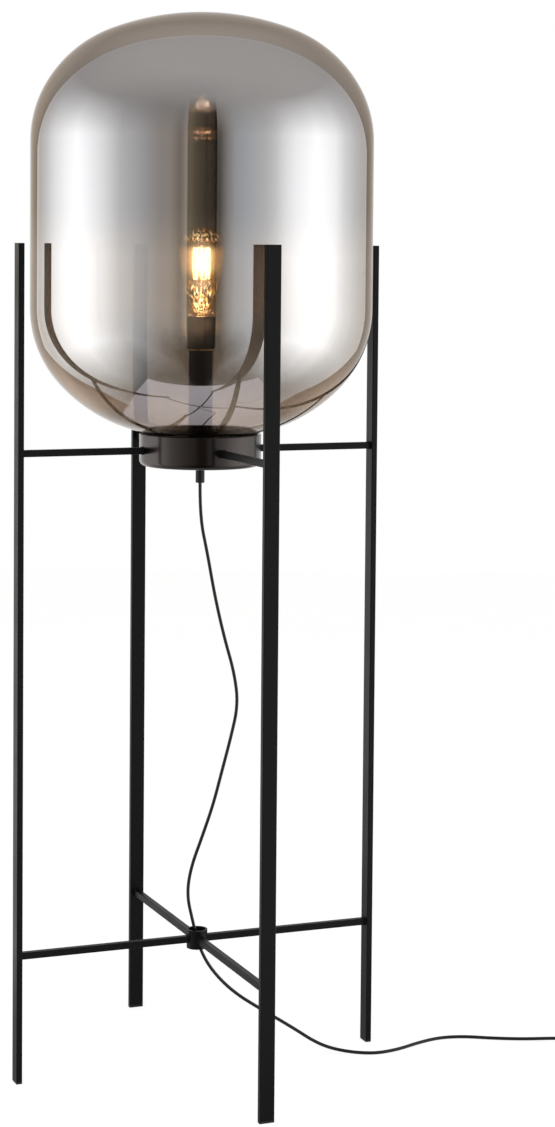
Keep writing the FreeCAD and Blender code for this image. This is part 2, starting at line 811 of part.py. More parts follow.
def make_cord():
    save("cord_run", cord_tube("cord_run", cord_route()))
    steps = int(8 * coil_turns_per_layer + 2)
    start = coil_point(0)
    entry = start - coil_way(0) * cord_diameter
    end = coil_point(steps)
    leave = end + coil_way(steps) * cord_diameter
    edges = [Part.LineSegment(entry, start).toShape()]
    edges += wound(coil_point, coil_way, steps)
    edges.append(Part.LineSegment(end, leave).toShape())
    coil = swept(edges, cord_radius, entry, coil_way(0))
    length = sum(e.Length for e in edges)
    print(f"cord_coil: length {length:.0f} mm, inner radius {coil_inner:.1f} mm, "
          f"least gap between turns {coil_self_gap():.2f} mm")
    save("cord_coil", coil)
    link = [along(switch_out, 0, switch_cord_height), along(switch_out + link_run, 0, switch_cord_height),
            entry - coil_way(0) * link_run, entry]
    save("cord_link", cord_tube("cord_link", link))
    tail_end = leave + coil_way(steps) * tail_length
    save("cord_tail", cord_tube("cord_tail", [leave, tail_end]))
    return tail_end, coil_way(steps)


def set_down(shape, place, degrees):
    copy = shape.copy()
    copy.rotate(V(0, 0, 0), V(0, 0, 1), degrees)
    copy.translate(place)
    return copy


def relief(direction, start):
    """Tapered rubber sleeve on the end of a housing, along +X or -X."""
    return Part.makeCone(relief_root, relief_tip, relief_length,
                         V(start, 0, switch_cord_height), V(direction, 0, 0))


def make_switch():
    place = along(switch_middle)

    def put(name, shape):
        shapes = shape if isinstance(shape, list) else [shape]
        save(name, [set_down(s, place, switch_heading) for s in shapes])

    half = switch_length / 2
    screw_x = half - switch_screw_inset
    ceiling = switch_height - switch_ceiling

    def room(wall, low, high):
        return rounded_block(switch_length - 2 * wall, switch_width - 2 * wall, low, high,
                             switch_corner - wall)

    base = rounded_block(switch_length, switch_width, 0, switch_base_height, switch_corner)
    base = base.cut(room(switch_wall, switch_wall, switch_base_height + 1))
    cover = rounded_block(switch_length, switch_width, switch_base_height, switch_height, switch_corner)
    rim = [e for e in cover.Edges if e.BoundBox.ZMin > switch_height - 0.1]
    cover = cover.makeFillet(switch_crown, rim)
    cover = cover.cut(room(switch_cover_wall, switch_base_height - 1, ceiling))
    cover = cover.cut(rod(button_radius + rest_gap, ceiling - 1, switch_height + 1))
    screws = []
    for x in (-screw_x, screw_x):
        base = base.cut(rod(switch_screw_radius + rest_gap, -1, switch_wall + 1, x))
        base = base.cut(rod(switch_head_radius + switch_hole_gap, -1, switch_head_top, x))
        screw_top = switch_wall + switch_screw_reach
        hole = rod(switch_screw_radius + switch_hole_gap, switch_wall - 1, screw_top + screw_end_gap, x)
        cover = cover.fuse(rod(switch_post_radius, switch_wall, ceiling, x).cut(hole))
        head = rod(switch_head_radius, cord_floor_gap, switch_head_top, x)
        screws.append(head.fuse(rod(switch_screw_radius, switch_head_top, screw_top, x)))
    cover = cover.removeSplitter()
    flange_top = ceiling - rest_gap
    button = rod(button_radius, flange_top - button_flange, switch_height + button_stand)
    button = button.makeFillet(button_round, [e for e in button.Edges
                                              if e.BoundBox.ZMin > switch_height + 2])
    button = button.fuse(rod(button_radius + button_flange, flange_top - button_flange, flange_top))
    button = button.removeSplitter()
    spring_low = switch_wall + spring_seat_height
    spring_high = flange_top - button_flange - rest_gap
    seat = rod(spring_radius + button_flange, switch_wall, spring_low)
    spigot_radius = spring_radius - spring_wire - spring_spigot_gap
    seat = seat.fuse(rod(spigot_radius, spring_low, spring_low + spring_spigot_height))
    put("switch_base", base.fuse(seat).removeSplitter())
    put("switch_cover", cover)
    put("switch_button", button)
    put("switch_screws", screws)
    turn_height = (spring_high - spring_low - 2 * spring_wire) / spring_turns
    steps = 4 * spring_turns

    def spring_point(step):
        angle = math.pi / 2 * step
        return V(spring_radius * math.cos(angle), spring_radius * math.sin(angle),
                 spring_low + spring_wire + turn_height * step / 4)

    def spring_way(step):
        angle = math.pi / 2 * step
        way = V(-spring_radius * math.sin(angle), spring_radius * math.cos(angle),
                turn_height / (2 * math.pi))
        way.normalize()
        return way

    spring = swept(wound(spring_point, spring_way, steps), spring_wire, spring_point(0), spring_way(0))
    put("switch_spring", spring)
    contacts = []
    for y in (-terminal_place, terminal_place):
        contacts.append(Part.makeBox(terminal_length, terminal_width, terminal_height,
                                     V(-terminal_length / 2, y - terminal_width / 2, switch_wall)))
    put("switch_contacts", contacts)
    put("switch_reliefs", [relief(-1, -half), relief(1, half)])


def make_plug(tail_end, way):
    """Flat two-pin plug on the end of the cord; local +X points out of the pin face."""
    height = plug_thickness / 2

    def section(x, width, thickness):
        corner = thickness * plug_roundness
        block = Part.makeBox(1, width, thickness, V(x, -width / 2, height - thickness / 2))
        edges = [e for e in block.Edges if abs(e.tangentAt(e.FirstParameter).x) > 0.99]
        rounded = block.makeFillet(corner, edges)
        face = min(rounded.Faces, key=lambda f: f.CenterOfMass.x)
        return face.OuterWire

    taper_start = relief_length
    shoulder_x = relief_length + plug_length - plug_nose
    face_x = relief_length + plug_length
    taper = Part.makeLoft([section(taper_start, plug_tail_width, plug_tail_thickness),
                           section(shoulder_x, plug_width, plug_thickness)], True, True)
    nose = Part.makeLoft([section(shoulder_x, plug_width, plug_thickness),
                          section(face_x, plug_width, plug_thickness)], True, True)
    body = taper.fuse(nose).removeSplitter()
    boot = Part.makeCone(relief_tip, relief_tip + plug_boot_swell, relief_length, V(0, 0, height), V(1, 0, 0))
    pins = []
    sleeves = []
    for y in (-pin_spacing / 2, pin_spacing / 2):
        foot = V(face_x, y, height)
        core = Part.makeCylinder(pin_core_radius, pin_sleeve_length, foot, V(1, 0, 0))
        tip = Part.makeCylinder(pin_radius, pin_length - pin_sleeve_length,
                                foot + V(pin_sleeve_length, 0, 0), V(1, 0, 0))
        round_end = [e for e in tip.Edges if e.BoundBox.XMin > face_x + pin_length - 0.1]
        pins.append(core.fuse(tip.makeFillet(pin_round, round_end)).removeSplitter())
        sleeve = Part.makeCylinder(pin_radius - pin_sleeve_drop, pin_sleeve_length, foot, V(1, 0, 0))
        sleeves.append(sleeve.cut(Part.makeCylinder(pin_core_radius + pin_core_gap, pin_sleeve_length,
                                                    foot, V(1, 0, 0))))
    place = V(tail_end.x, tail_end.y, 0)
    facing = math.degrees(math.atan2(way.y, way.x))
    for name, shapes in (("plug_body", [body]), ("plug_relief", [boot]), ("plug_pins", pins),
                         ("plug_pin_sleeves", sleeves)):
        save(name, [set_down(s, place, facing) for s in shapes])
    for y in (-pin_spacing / 2, pin_spacing / 2):
        middle = V(face_x + (pin_sleeve_length + pin_length - pin_round) / 2, y, height)
        centre = set_down(Part.Vertex(middle), place, facing)
        print("middle of a pin's bare wall:", [round(c, 3) for c in centre.Point],
              "way out:", [round(c, 5) for c in way])


make_frame()
make_canister()
save("glass_shade", spun(glass_outline()))
make_holder()
make_bulb()
make_wiring()
cord_end, cord_way = make_cord()
make_switch()
make_plug(cord_end, cord_way)
print(f"leg ring radius {leg_ring:.1f}, bulb top {bulb_top:.1f}, bulb widest {bulb_wide:.1f}, "
      f"cap {cap_bottom:.1f} to {cap_top:.1f}")
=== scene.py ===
# %% [markdown]
# # A floor lamp with a smoked, half-mirrored glass
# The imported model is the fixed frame. Everything made here is in metres and stands where the
# frame has it, so nothing needs fitting. Each cell makes one piece or one finish.

# %% Load the frame
import json
import math

import bmesh
import bpy
from mathutils import Matrix, Vector


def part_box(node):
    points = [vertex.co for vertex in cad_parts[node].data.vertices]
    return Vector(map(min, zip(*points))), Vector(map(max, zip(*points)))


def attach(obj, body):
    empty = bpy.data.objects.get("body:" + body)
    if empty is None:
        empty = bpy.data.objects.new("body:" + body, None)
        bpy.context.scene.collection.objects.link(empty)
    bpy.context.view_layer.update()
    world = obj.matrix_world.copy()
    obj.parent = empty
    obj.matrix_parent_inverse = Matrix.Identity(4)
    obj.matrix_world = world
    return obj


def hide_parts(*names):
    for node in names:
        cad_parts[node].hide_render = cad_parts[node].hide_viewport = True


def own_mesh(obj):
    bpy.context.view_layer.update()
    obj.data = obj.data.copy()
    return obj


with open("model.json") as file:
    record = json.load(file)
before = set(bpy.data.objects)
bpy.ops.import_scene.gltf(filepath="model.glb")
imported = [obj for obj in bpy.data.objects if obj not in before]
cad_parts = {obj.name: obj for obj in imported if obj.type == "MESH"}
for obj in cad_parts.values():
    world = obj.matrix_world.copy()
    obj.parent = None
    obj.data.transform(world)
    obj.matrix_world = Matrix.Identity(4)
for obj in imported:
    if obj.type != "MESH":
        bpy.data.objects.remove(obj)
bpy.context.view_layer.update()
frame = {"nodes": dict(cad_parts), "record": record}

# %% [markdown]
# ## Camera
# The camera stood 3.2 m away with its lens near the middle of the glass, tipped three degrees down.
# The lamp's own straight bars gave these numbers. The picture was cropped afterwards, so the lens
# axis isn't in its middle, and the shift repeats that crop.

# %% Set the camera
def into_scene(name, data):
    """Makes an object of this data and puts it into the scene."""
    made = bpy.data.objects.new(name, data)
    bpy.context.scene.collection.objects.link(made)
    return made


eye = Vector((-1.1417, -3.0421, 1.0937))
heading = math.radians(-21.341)
tip = math.radians(-2.999)
roll = math.radians(0.427)

lens = bpy.data.cameras.new("photo_camera")
lens.sensor_width = 36.0
lens.lens = 78.33
lens.shift_x = 0.0389
lens.shift_y = -0.1668
lens.clip_end = 50.0
camera = into_scene("photo_camera", lens)
aim = (Matrix.Rotation(heading, 3, "Z") @ Matrix.Rotation(math.pi / 2 + tip, 3, "X")
       @ Matrix.Rotation(roll, 3, "Z"))
camera.matrix_world = Matrix.Translation(eye) @ aim.to_4x4()
bpy.context.scene.camera = camera
picture_right = (0.9314, -0.3639)  # the floor's direction that runs to the right in the picture
print("camera at", tuple(round(v, 3) for v in eye))

# %% [markdown]
# ## Finishes
# Every finish of the lamp is one Principled shader with a few nodes in front of it. Patterns read its
# own coordinates, in metres, so a real grain size in millimetres gives the scale directly. One
# function adds any node, with its settings, links and colour stops, and it serves shaders, the room
# and Geometry Nodes alike. A kind with no Node in its name is a shader node. A node given as an input
# stands for its first output that is in use. Inputs in a list fill the sockets in order: Map Range
# takes its value, From Min, From Max, To Min and To Max, and Set Material its geometry, the faces to
# paint and the material.

# %% Helpers for node trees
def linear(code):
    """An sRGB hex colour as the linear values that shaders take."""
    parts = [int(code[i:i + 2], 16) / 255 for i in (1, 3, 5)]
    return tuple(p / 12.92 if p <= 0.04045 else ((p + 0.055) / 1.055) ** 2.4 for p in parts) + (1.0,)


def rgba(value):
    """Linear values from a hex colour, from a level of grey, or as they are."""
    if isinstance(value, str):
        return linear(value)
    return value if isinstance(value, tuple) else (value, value, value, 1.0)


def put(tree, kind, inputs=(), stops=(), **settings):
    """Adds one node, sets its values, fills its inputs and lays out its colour stops."""
    made = tree.nodes.new(kind if "Node" in kind else "ShaderNode" + kind)
    for name, value in settings.items():
        setattr(made, name, value)
    for name, value in (inputs.items() if isinstance(inputs, dict) else enumerate(inputs)):
        if isinstance(value, bpy.types.Node):
            value = next(socket for socket in value.outputs if socket.enabled)
        if isinstance(value, bpy.types.NodeSocket):
            tree.links.new(value, made.inputs[name])
        else:
            made.inputs[name].default_value = value
    for _ in stops[2:]:
        made.color_ramp.elements.new(1.0)
    for place, (position, colour) in enumerate(stops):
        made.color_ramp.elements[place].position = position
    for place, (position, colour) in enumerate(stops):
        made.color_ramp.elements[place].color = rgba(colour)
    return made


def per_metre(millimetres):
    """Noise scale for a grain of this size."""
    return 1000.0 / millimetres


def new_finish(name):
    """An empty material, its tree and the object coordinates."""
    made = bpy.data.materials.new(name)
    made.use_nodes = True
    made.node_tree.nodes.clear()
    place = put(made.node_tree, "TexCoord").outputs["Object"]
    return made, made.node_tree, place


def mottled(tree, place, patch_mm, dark, light, detail=1.0):
    """Two shades in soft patches of this size, and the noise that they come from."""
    noise = put(tree, "TexNoise", {"Vector": place, "Scale": per_metre(patch_mm), "Detail": detail})
    return put(tree, "ValToRGB", [noise], stops=[(0.3, dark), (0.7, light)]), noise


def close_finish(made, inputs):
    """Ends a material with its Principled shader."""
    shader = put(made.node_tree, "BsdfPrincipled", inputs)
    put(made.node_tree, "OutputMaterial", [shader])
    print("finish:", made.name)


# A Mix node set to colours takes its share at socket 0 and its two colours at 6 and 7.
def grained(name, dark, light, roughness, grain_mm, relief_mm, patch_mm=60.0, **more):
    """A solid finish: two close shades in soft patches, a fine relief and an uneven gloss."""
    made, tree, place = new_finish(name)
    grain = put(tree, "TexNoise", {"Vector": place, "Scale": per_metre(grain_mm), "Detail": 2.0})
    patch = put(tree, "TexNoise", {"Vector": place, "Scale": per_metre(patch_mm), "Detail": 3.0})
    shade = put(tree, "Mix", {0: patch, 6: linear(dark), 7: linear(light)}, data_type="RGBA")
    gloss = put(tree, "MapRange", [patch, 0.3, 0.7, roughness - 0.03, roughness + 0.04])
    bump = put(tree, "Bump", {"Height": grain, "Strength": 1.0, "Distance": relief_mm / 1000})
    close_finish(made, {"Base Color": shade, "Roughness": gloss, "Normal": bump, **more})
    return made


# %% [markdown]
# The frame and the canister are steel with a black powder coat. The powder melts into a skin with a
# fine orange-peel relief, about a millimetre across, which softens what it mirrors. The canister,
# the stem and the holder's sleeve are spun or turned and sanded before coating, so they are smoother
# and glossier than the welded legs.

# %% Powder-coated steel
powder_coat = grained("powder_coated_steel", "#0c0c0d", "#111112", 0.40, 1.1, 0.012, IOR=1.27)
smooth_coat = grained("powder_coated_spun_steel", "#0c0a0a", "#110e0e", 0.19, 0.9, 0.004, IOR=1.62,
                      **{"Specular Tint": linear("#fff0ea")})

# %% [markdown]
# Plastics, rubber and the lead's PVC sheath are all near black. What tells them apart is the gloss:
# the nylon is dull with a fine spark texture, the rubber is duller, and the extruded sheath shines.
# The thin inner leads have a brown sleeve.

# %% Moulded and extruded blacks
nylon = grained("moulded_nylon", "#171717", "#1d1d1d", 0.50, 0.6, 0.010, 30.0)
grey_abs = grained("moulded_grey_abs", "#3a3b3c", "#434445", 0.42, 0.6, 0.008, 30.0)
rubber = grained("moulded_rubber", "#101010", "#151515", 0.62, 0.8, 0.010, 30.0)
sheath = grained("extruded_pvc_sheath", "#0c0c0d", "#121213", 0.30, 2.5, 0.010, 25.0)
sleeving = grained("lead_sleeving", "#3b1f12", "#4a2817", 0.40, 2.0, 0.005, 25.0)

# %% [markdown]
# The small metal parts are zinc-plated steel and rolled brass, with a faint haze from handling. The
# hooks that hold the filament are molybdenum wire with a painted glow, a warm emission that stands in
# for the filament's light caught on them. The holder's inside is glazed steatite, a white ceramic,
# and the bulb's cap is closed by a shiny disc of fused black glass.

# %% Metals, ceramic and black glass
zinc = grained("zinc_plated_steel", "#b9bbbd", "#cfd0d1", 0.30, 0.8, 0.003, 12.0, Metallic=1.0)
brass = grained("rolled_brass", "#c9a564", "#d9b878", 0.28, 0.8, 0.003, 12.0, Metallic=1.0)
steatite = grained("glazed_steatite", "#e6e2d8", "#efece4", 0.22, 3.0, 0.010, 20.0)
# The hooks' emission is a painted glow, standing in for the filament's light caught on the wire.
hooks_with_painted_glow = grained("molybdenum_wire_painted_glow", "#8c8781", "#a19b94", 0.35, 0.8, 0.002, 12.0,
                    Metallic=1.0, **{"Emission Color": linear("#ffdf9c"), "Emission Strength": 2.5})
black_glass = grained("fused_black_glass", "#0b0b10", "#101018", 0.12, 3.0, 0.004, 20.0)

# %% [markdown]
# ## The smoked, half-mirrored glass
# A thin metal film on blown smoke-brown glass mirrors much of the light and lets some through. The
# film was laid on from above, so it is dense over the crown and thins out towards the neck: nothing
# shows behind the upper part, but the back leg shows through the belly. One Principled shader does
# both jobs. Its metallic share is the film, set by height, and the rest is clear glass.

# %% How much the film mirrors
see_through = {"Transmission Weight": 1.0, "Roughness": 0.0}
film_low, film_high = 0.80, 1.20
film, tree, place = new_finish("smoke_mirror_film_on_glass")
height = put(tree, "SeparateXYZ", [place]).outputs["Z"]
climb = put(tree, "MapRange", [height, film_low, film_high])
film_share = put(tree, "ValToRGB", [climb], stops=[
    (0.05, 0.28), (0.10, 0.36), (0.18, 0.50), (0.32, 0.66), (0.50, 0.71), (0.63, 0.735), (0.72, 0.755),
    (0.80, 0.81), (0.86, 0.89)])
film_tone = put(tree, "ValToRGB", [climb], stops=[(0.70, "#f6f6f6"), (0.86, "#dddddf")])
print("the film thins out from", film_high, "m down to", film_low, "m")

# %% [markdown]
# At a grazing angle light crosses far more of the brown glass, which gives the crisp brown edge all
# round, so Layer Weight turns the film brown there. The glass is thickest at the crown and in the
# bowl, so the edge is wider there: the added thickness lets the edge begin before the outline. The
# crown's edge is paler than the sides', and the bowl's is redder.

# %% The film's brown edge
crown_low, crown_high, crown_thicker = 1.22, 1.36, 0.23
bowl_low, bowl_high, bowl_thicker = 0.86, 0.98, 0.19
facing = put(tree, "LayerWeight", {"Blend": 0.5}).outputs["Facing"]
crown_share = put(tree, "MapRange", [height, crown_low, crown_high])
low_part = put(tree, "MapRange", [height, bowl_low, bowl_high])
bowl_share = put(tree, "ValToRGB", [low_part], stops=[(0.10, 0), (0.27, 1), (0.40, 1), (0.85, 0)])
thicker = put(tree, "Math", [bowl_share, bowl_thicker], operation="MULTIPLY")
thickness = put(tree, "Math", [crown_share, crown_thicker, thicker], operation="MULTIPLY_ADD")
depth = put(tree, "Math", [facing, thickness], operation="ADD")
side_edge = put(tree, "ValToRGB", [depth], stops=[
    (0.690, "#ededed"), (0.708, "#ffffff"), (0.718, "#8a8177"), (0.85, "#a0968b"), (1.0, "#bbb2a8")])
bowl_edge = put(tree, "ValToRGB", [depth], stops=[
    (0.700, "#f4f4f4"), (0.716, "#b09a88"), (1.0, "#cbb8a7")])
crown_edge = put(tree, "ValToRGB", [depth], stops=[
    (0.690, "#ededed"), (0.708, "#f4f4f4"), (0.722, "#eae0d6"), (1.0, "#efe6dc")])
lower_edge = put(tree, "Mix", {0: bowl_share, 6: side_edge, 7: bowl_edge}, data_type="RGBA")
edge = put(tree, "Mix", {0: crown_share, 6: lower_edge, 7: crown_edge}, data_type="RGBA")
browned = put(tree, "Mix", {0: 1.0, 6: film_tone, 7: edge}, data_type="RGBA", blend_type="MULTIPLY")
close_finish(film, {"Base Color": browned, "Metallic": film_share, "Specular Tint": linear("#cbc2b8"),
                    "IOR": 1.5, **see_through})

# %% [markdown]
# The inner wall is the bare glass behind the film: clear, and a little browner in some places than
# in others, as blown glass is.

# %% The glass behind the film
inner_wall, tree, place = new_finish("smoke_brown_glass_wall")
tint, _ = mottled(tree, place, 120.0, "#f6dcc0", "#fae4cb")
close_finish(inner_wall, {"Base Color": tint, "IOR": 1.5, **see_through})

# %% [markdown]
# The bulb is blown from pale amber glass. A painted glow, an emission in the glass near the filament,
# stands in for the light that the tinted wall scatters, and it fades towards the outline. Painted
# glints at the bulb's ends, small bright streaks 3 mm wide where the glass faces the eye, stand in
# for the filament's light bent there.

# %% Bulb glass
painted_glow_low, painted_glow_high = 1.000, 1.120
streak_mm, painted_streak_power, painted_halo_power = 3.0, 4.0, 2.6
amber, tree, place = new_finish("amber_bulb_glass_with_painted_glow")
tint, _ = mottled(tree, place, 25.0, "#f7dcb4", "#fbe4c2")
height = put(tree, "SeparateXYZ", [place]).outputs["Z"]
level = put(tree, "MapRange", [height, painted_glow_low, painted_glow_high])
# Painted glow: a band of emission at the filament's height that fades towards the outline.
band = put(tree, "ValToRGB", [level], stops=[
    (0.20, 0), (0.42, 0.2), (0.54, 1), (0.72, 0.9), (0.80, 0.12), (0.95, 0)])
side = put(tree, "LayerWeight", {"Blend": 0.5}).outputs["Facing"]
fade = put(tree, "ValToRGB", [side], stops=[
    (0.0, 1), (0.07, 0.45), (0.14, 0.13), (0.35, 0.06), (0.75, 0)])
painted_halo = put(tree, "Math", [band, fade], operation="MULTIPLY")
painted_glow_colour = put(tree, "ValToRGB", [side], stops=[(0.0, "#fffbee"), (0.10, "#fff0c4"), (0.30, "#ffe2a4")])
# Painted glints: emission in tall noise streaks near the bulb's ends, where the glass faces the eye.
tall = put(tree, "Mapping", {"Vector": place, "Scale": (1.0, 1.0, 0.35)})
streaks = put(tree, "TexNoise", {"Vector": tall, "Scale": per_metre(streak_mm), "Detail": 0.0})
bright = put(tree, "MapRange", [streaks, 0.55, 0.75])
ends = put(tree, "ValToRGB", [level], stops=[
    (0.04, 0), (0.08, 1), (0.30, 0.8), (0.42, 0), (0.84, 0), (0.90, 1), (1.0, 0.8)])
towards = put(tree, "MapRange", [side, 0.36, 0.10])
where = put(tree, "Math", [ends, towards], operation="MULTIPLY")
painted_glints = put(tree, "Math", [bright, where], operation="MULTIPLY")
flare = put(tree, "Math", [painted_halo, painted_halo_power], operation="MULTIPLY")
painted_glow_and_glints = put(tree, "Math", [painted_glints, painted_streak_power, flare], operation="MULTIPLY_ADD")
close_finish(amber, {"Base Color": tint, "IOR": 1.3, "Emission Color": painted_glow_colour,
                     "Emission Strength": painted_glow_and_glints, **see_through})

# %% [markdown]
# Inside the bulb, the clear glass mount that carries the filament has painted glints: an emission in
# faint streaks, where the marks left by drawing would catch the filament's light.

# %% Drawn clear glass
clear_glass, tree, place = new_finish("drawn_clear_glass_painted_glints")
tint, glint_noise = mottled(tree, place, 3.0, "#f4e6cc", "#fbf4e6")
# Painted glints: emission where the streak noise is high, for the filament's light caught in the mount.
painted_glints = put(tree, "MapRange", [glint_noise, 0.50, 0.68, 0.1, 5.0])
close_finish(clear_glass, {"Base Color": tint, "IOR": 1.45, "Emission Color": linear("#fff0c8"),
                           "Emission Strength": painted_glints, **see_through})

# %% [markdown]
# The filament is so much brighter than the rest that the camera sees it as nearly white. Its ends
# are cooled by the hooks, so they are dimmer and yellower. Two more passes through brown glass
# redden the mirrored filament, and a whiter heat in mirrors makes up for that.

# %% The glowing wire
hot_low, hot_high, full_power, white_heat = 1.048, 1.096, 110.0, (1.0, 1.3, 2.2, 1.0)
glow, tree, place = new_finish("glowing_filament")
heat, _ = mottled(tree, place, 6.0, "#ffe3b4", "#ffeccb")
height = put(tree, "SeparateXYZ", [place]).outputs["Z"]
climb = put(tree, "MapRange", [height, hot_low, hot_high])
colour = put(tree, "ValToRGB", [climb], stops=[
    (0.0, "#ffdf8c"), (0.35, "#fff3cc"), (0.8, "#fff3cc"), (1.0, "#ffe7a4")])
power = put(tree, "ValToRGB", [climb], stops=[(0.0, 0.06), (0.4, 1), (0.8, 1), (1.0, 0.12)])
strength = put(tree, "Math", [power, full_power], operation="MULTIPLY")
bounced = put(tree, "LightPath").outputs["Glossy Depth"]
mirrored_share = put(tree, "Math", [bounced, 1.0], operation="MINIMUM")
whiter = put(tree, "Mix", {0: mirrored_share, 6: colour, 7: white_heat}, data_type="RGBA")
close_finish(glow, {"Base Color": heat, "Emission Color": whiter, "Emission Strength": strength,
                    "Roughness": 0.5})

# %% [markdown]
# ## Finish the frame's own pieces
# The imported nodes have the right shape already. Each gets the finish of its material slot. It goes
# into the object's own slot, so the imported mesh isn't touched.

# %% Give every node its finish
finish_of_slot = {
    "black_coat": powder_coat, "black_plastic": nylon, "grey_plastic": grey_abs, "rubber": rubber,
    "cord_pvc": sheath, "smoked_glass": film, "amber_glass": amber, "clear_glass": clear_glass,
    "black_glass": black_glass, "brass": brass, "zinc_steel": zinc, "ceramic": steatite,
    "glow_wire": glow, "lead_insulation": sleeving,
}


def dress(piece, material):
    """Puts the material into the object's own first slot."""
    if not piece.material_slots:
        piece.data.materials.append(None)
    piece.material_slots[0].link = "OBJECT"
    piece.material_slots[0].material = material


for part in frame["record"]["subparts"]:
    dress(frame["nodes"][part["node"]], finish_of_slot[part["material_slot"]])
for name in ("canister", "stem_tube", "holder_sleeve"):
    dress(frame["nodes"][name], smooth_coat)
# The hooks take the finish with the painted glow.
dress(frame["nodes"]["filament_hooks"], hooks_with_painted_glow)

# %% [markdown]
# ## The cord
# A thin two-core mains lead hangs from the canister, bends over at the lower bars, lies on the floor
# and leaves the picture at the right. There it passes through its foot switch, and the rest is wound
# into a neat coil that ends in the plug. One NURBS line holds all of it: its points are listed where
# the cord hangs and lies, and counted round where it is wound.

# %% Where the cord hangs and lies
cord_diameter = 0.0045
hang_way = picture_right
hang_points = [(0.0, 0.7805), (0.0, 0.735), (0.0105, 0.686), (0.0205, 0.630), (0.0335, 0.574),
               (0.0475, 0.526), (0.053, 0.483), (0.043, 0.437), (0.0315, 0.392), (0.0205, 0.348),
               (0.0055, 0.303), (-0.009, 0.262), (-0.014, 0.226), (-0.0065, 0.192), (0.0036, 0.152)]
fall_way = (0.978, -0.208)
fall_points = [(0.021, 0.121), (0.050, 0.091), (0.088, 0.066), (0.130, 0.040), (0.168, 0.014)]
floor_points = [(0.199, -0.041), (0.233, -0.064), (0.272, -0.059), (0.309, -0.043), (0.347, -0.033),
                (0.381, -0.040), (0.414, -0.060), (0.452, -0.078)]
floor_height = 0.0023
print("cord:", len(hang_points) + len(fall_points) + len(floor_points), "points chosen by hand")

# %% Where it is wound
switch_entry = (0.494, -0.098)
switch_heading = math.radians(-28.8)
switch_height = 0.005
straight_in = 0.024
relief_length = 0.020
switch_length = 0.066
switch_out = straight_in + 2 * relief_length + switch_length
link_run = 0.011
coil_beyond_switch = 0.034
coil_middle = 0.026
coil_pitch = 0.0051
turns_per_layer = 3
points_per_turn = 16
climb_turns = 0.5
tail_length = 0.024


def along(distance, aside, height):
    """A point beyond the picture's edge: along the switch's heading and to its right."""
    c, s = math.cos(switch_heading), math.sin(switch_heading)
    return Vector((switch_entry[0] + distance * c + aside * s,
                   switch_entry[1] + distance * s - aside * c, height))


def coil_points():
    """In three turns inwards, up half a turn, and three turns back out on top."""
    outer = coil_middle + turns_per_layer * coil_pitch / 2
    inner = coil_middle - turns_per_layer * coil_pitch / 2
    centre = switch_out + coil_beyond_switch
    swell = 1 / math.cos(math.pi / points_per_turn)  # the line runs a little inside its points
    points = []
    for i in range(points_per_turn * 2 * turns_per_layer + points_per_turn // 2 + 1):
        turn = i / points_per_turn
        climb = min(max((turn - turns_per_layer) / climb_turns, 0.0), 1.0)
        if turn <= turns_per_layer:
            radius = outer - coil_pitch * turn
        elif turn <= turns_per_layer + climb_turns:
            radius = inner - coil_pitch * climb * (1 - climb) / 2
        else:
            radius = inner + coil_pitch * (turn - turns_per_layer - climb_turns)
        height = floor_height + coil_pitch * (1 - math.cos(math.pi * climb)) / 2
        angle = 2 * math.pi * turn
        points.append(along(centre + swell * radius * math.sin(angle),
                            outer - swell * radius * math.cos(angle), height))
    return points


coil = coil_points()
print("coil:", len(coil), "points")

# %% The whole route
first_way = (coil[1] - coil[0]).normalized()
last_way = (coil[-1] - coil[-2]).normalized()
plug_start = coil[-1] + last_way * (cord_diameter + tail_length)
route = [Vector((s * hang_way[0], s * hang_way[1], z)) for s, z in hang_points]
route += [Vector((s * fall_way[0], s * fall_way[1], z)) for s, z in fall_points]
route += [Vector((x, y, floor_height)) for x, y in floor_points]
route += [along(distance, 0, switch_height)
          for distance in (0, straight_in, switch_out, switch_out + link_run)]
route += [coil[0] - first_way * (cord_diameter + link_run), coil[0] - first_way * cord_diameter]
route += coil
route += [coil[-1] + last_way * cord_diameter, plug_start, plug_start + last_way * relief_length / 2]
print("cord:", len(route), "points; plug starts at", tuple(round(v, 4) for v in plug_start))

# %% [markdown]
# The spline's order and its end rule are set after the points are there, because Blender limits
# both by the number of points it has at that moment.

# %% Make the cord
def tube_from(name, points, diameter):
    """A round curve object whose NURBS line has these control points."""
    curve = bpy.data.curves.new(name, "CURVE")
    curve.dimensions = "3D"
    spline = curve.splines.new("NURBS")
    spline.points.add(len(points) - 1)
    for place, point in zip(spline.points, points):
        place.co = (*point, 1.0)
    spline.order_u = 3
    spline.use_endpoint_u = True
    spline.resolution_u = 6
    curve.bevel_depth = diameter / 2
    curve.bevel_resolution = 4
    curve.use_fill_caps = True
    print(name, len(points), "points")
    return into_scene(name, curve)


flex = tube_from("flex", route, cord_diameter)
flex.data.materials.append(sheath)
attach(flex, "frame")
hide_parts("cord_run", "cord_link", "cord_coil", "cord_tail")

# %% [markdown]
# Where the cord enters the switch and the plug, a ribbed rubber sleeve keeps it from kinking. It
# tapers from the housing to the cord, and its ribs come at an even pitch, so it follows a rule:
# Geometry Nodes give a straight line a radius that falls and ripples along the way, and sweep a
# circle along it.

# %% Geometry Nodes helpers
def new_tree(name, inputs):
    """A Geometry Nodes tree with named inputs; returns it and the outputs of its input node."""
    tree = bpy.data.node_groups.new(name, "GeometryNodeTree")
    tree.interface.new_socket(name="Start", in_out="INPUT", socket_type="NodeSocketGeometry")
    for label, kind, value in inputs:
        socket = tree.interface.new_socket(name=label, in_out="INPUT", socket_type=kind)
        if value is not None:
            socket.default_value = value
    tree.interface.new_socket(name="Piece", in_out="OUTPUT", socket_type="NodeSocketGeometry")
    return tree, put(tree, "NodeGroupInput").outputs


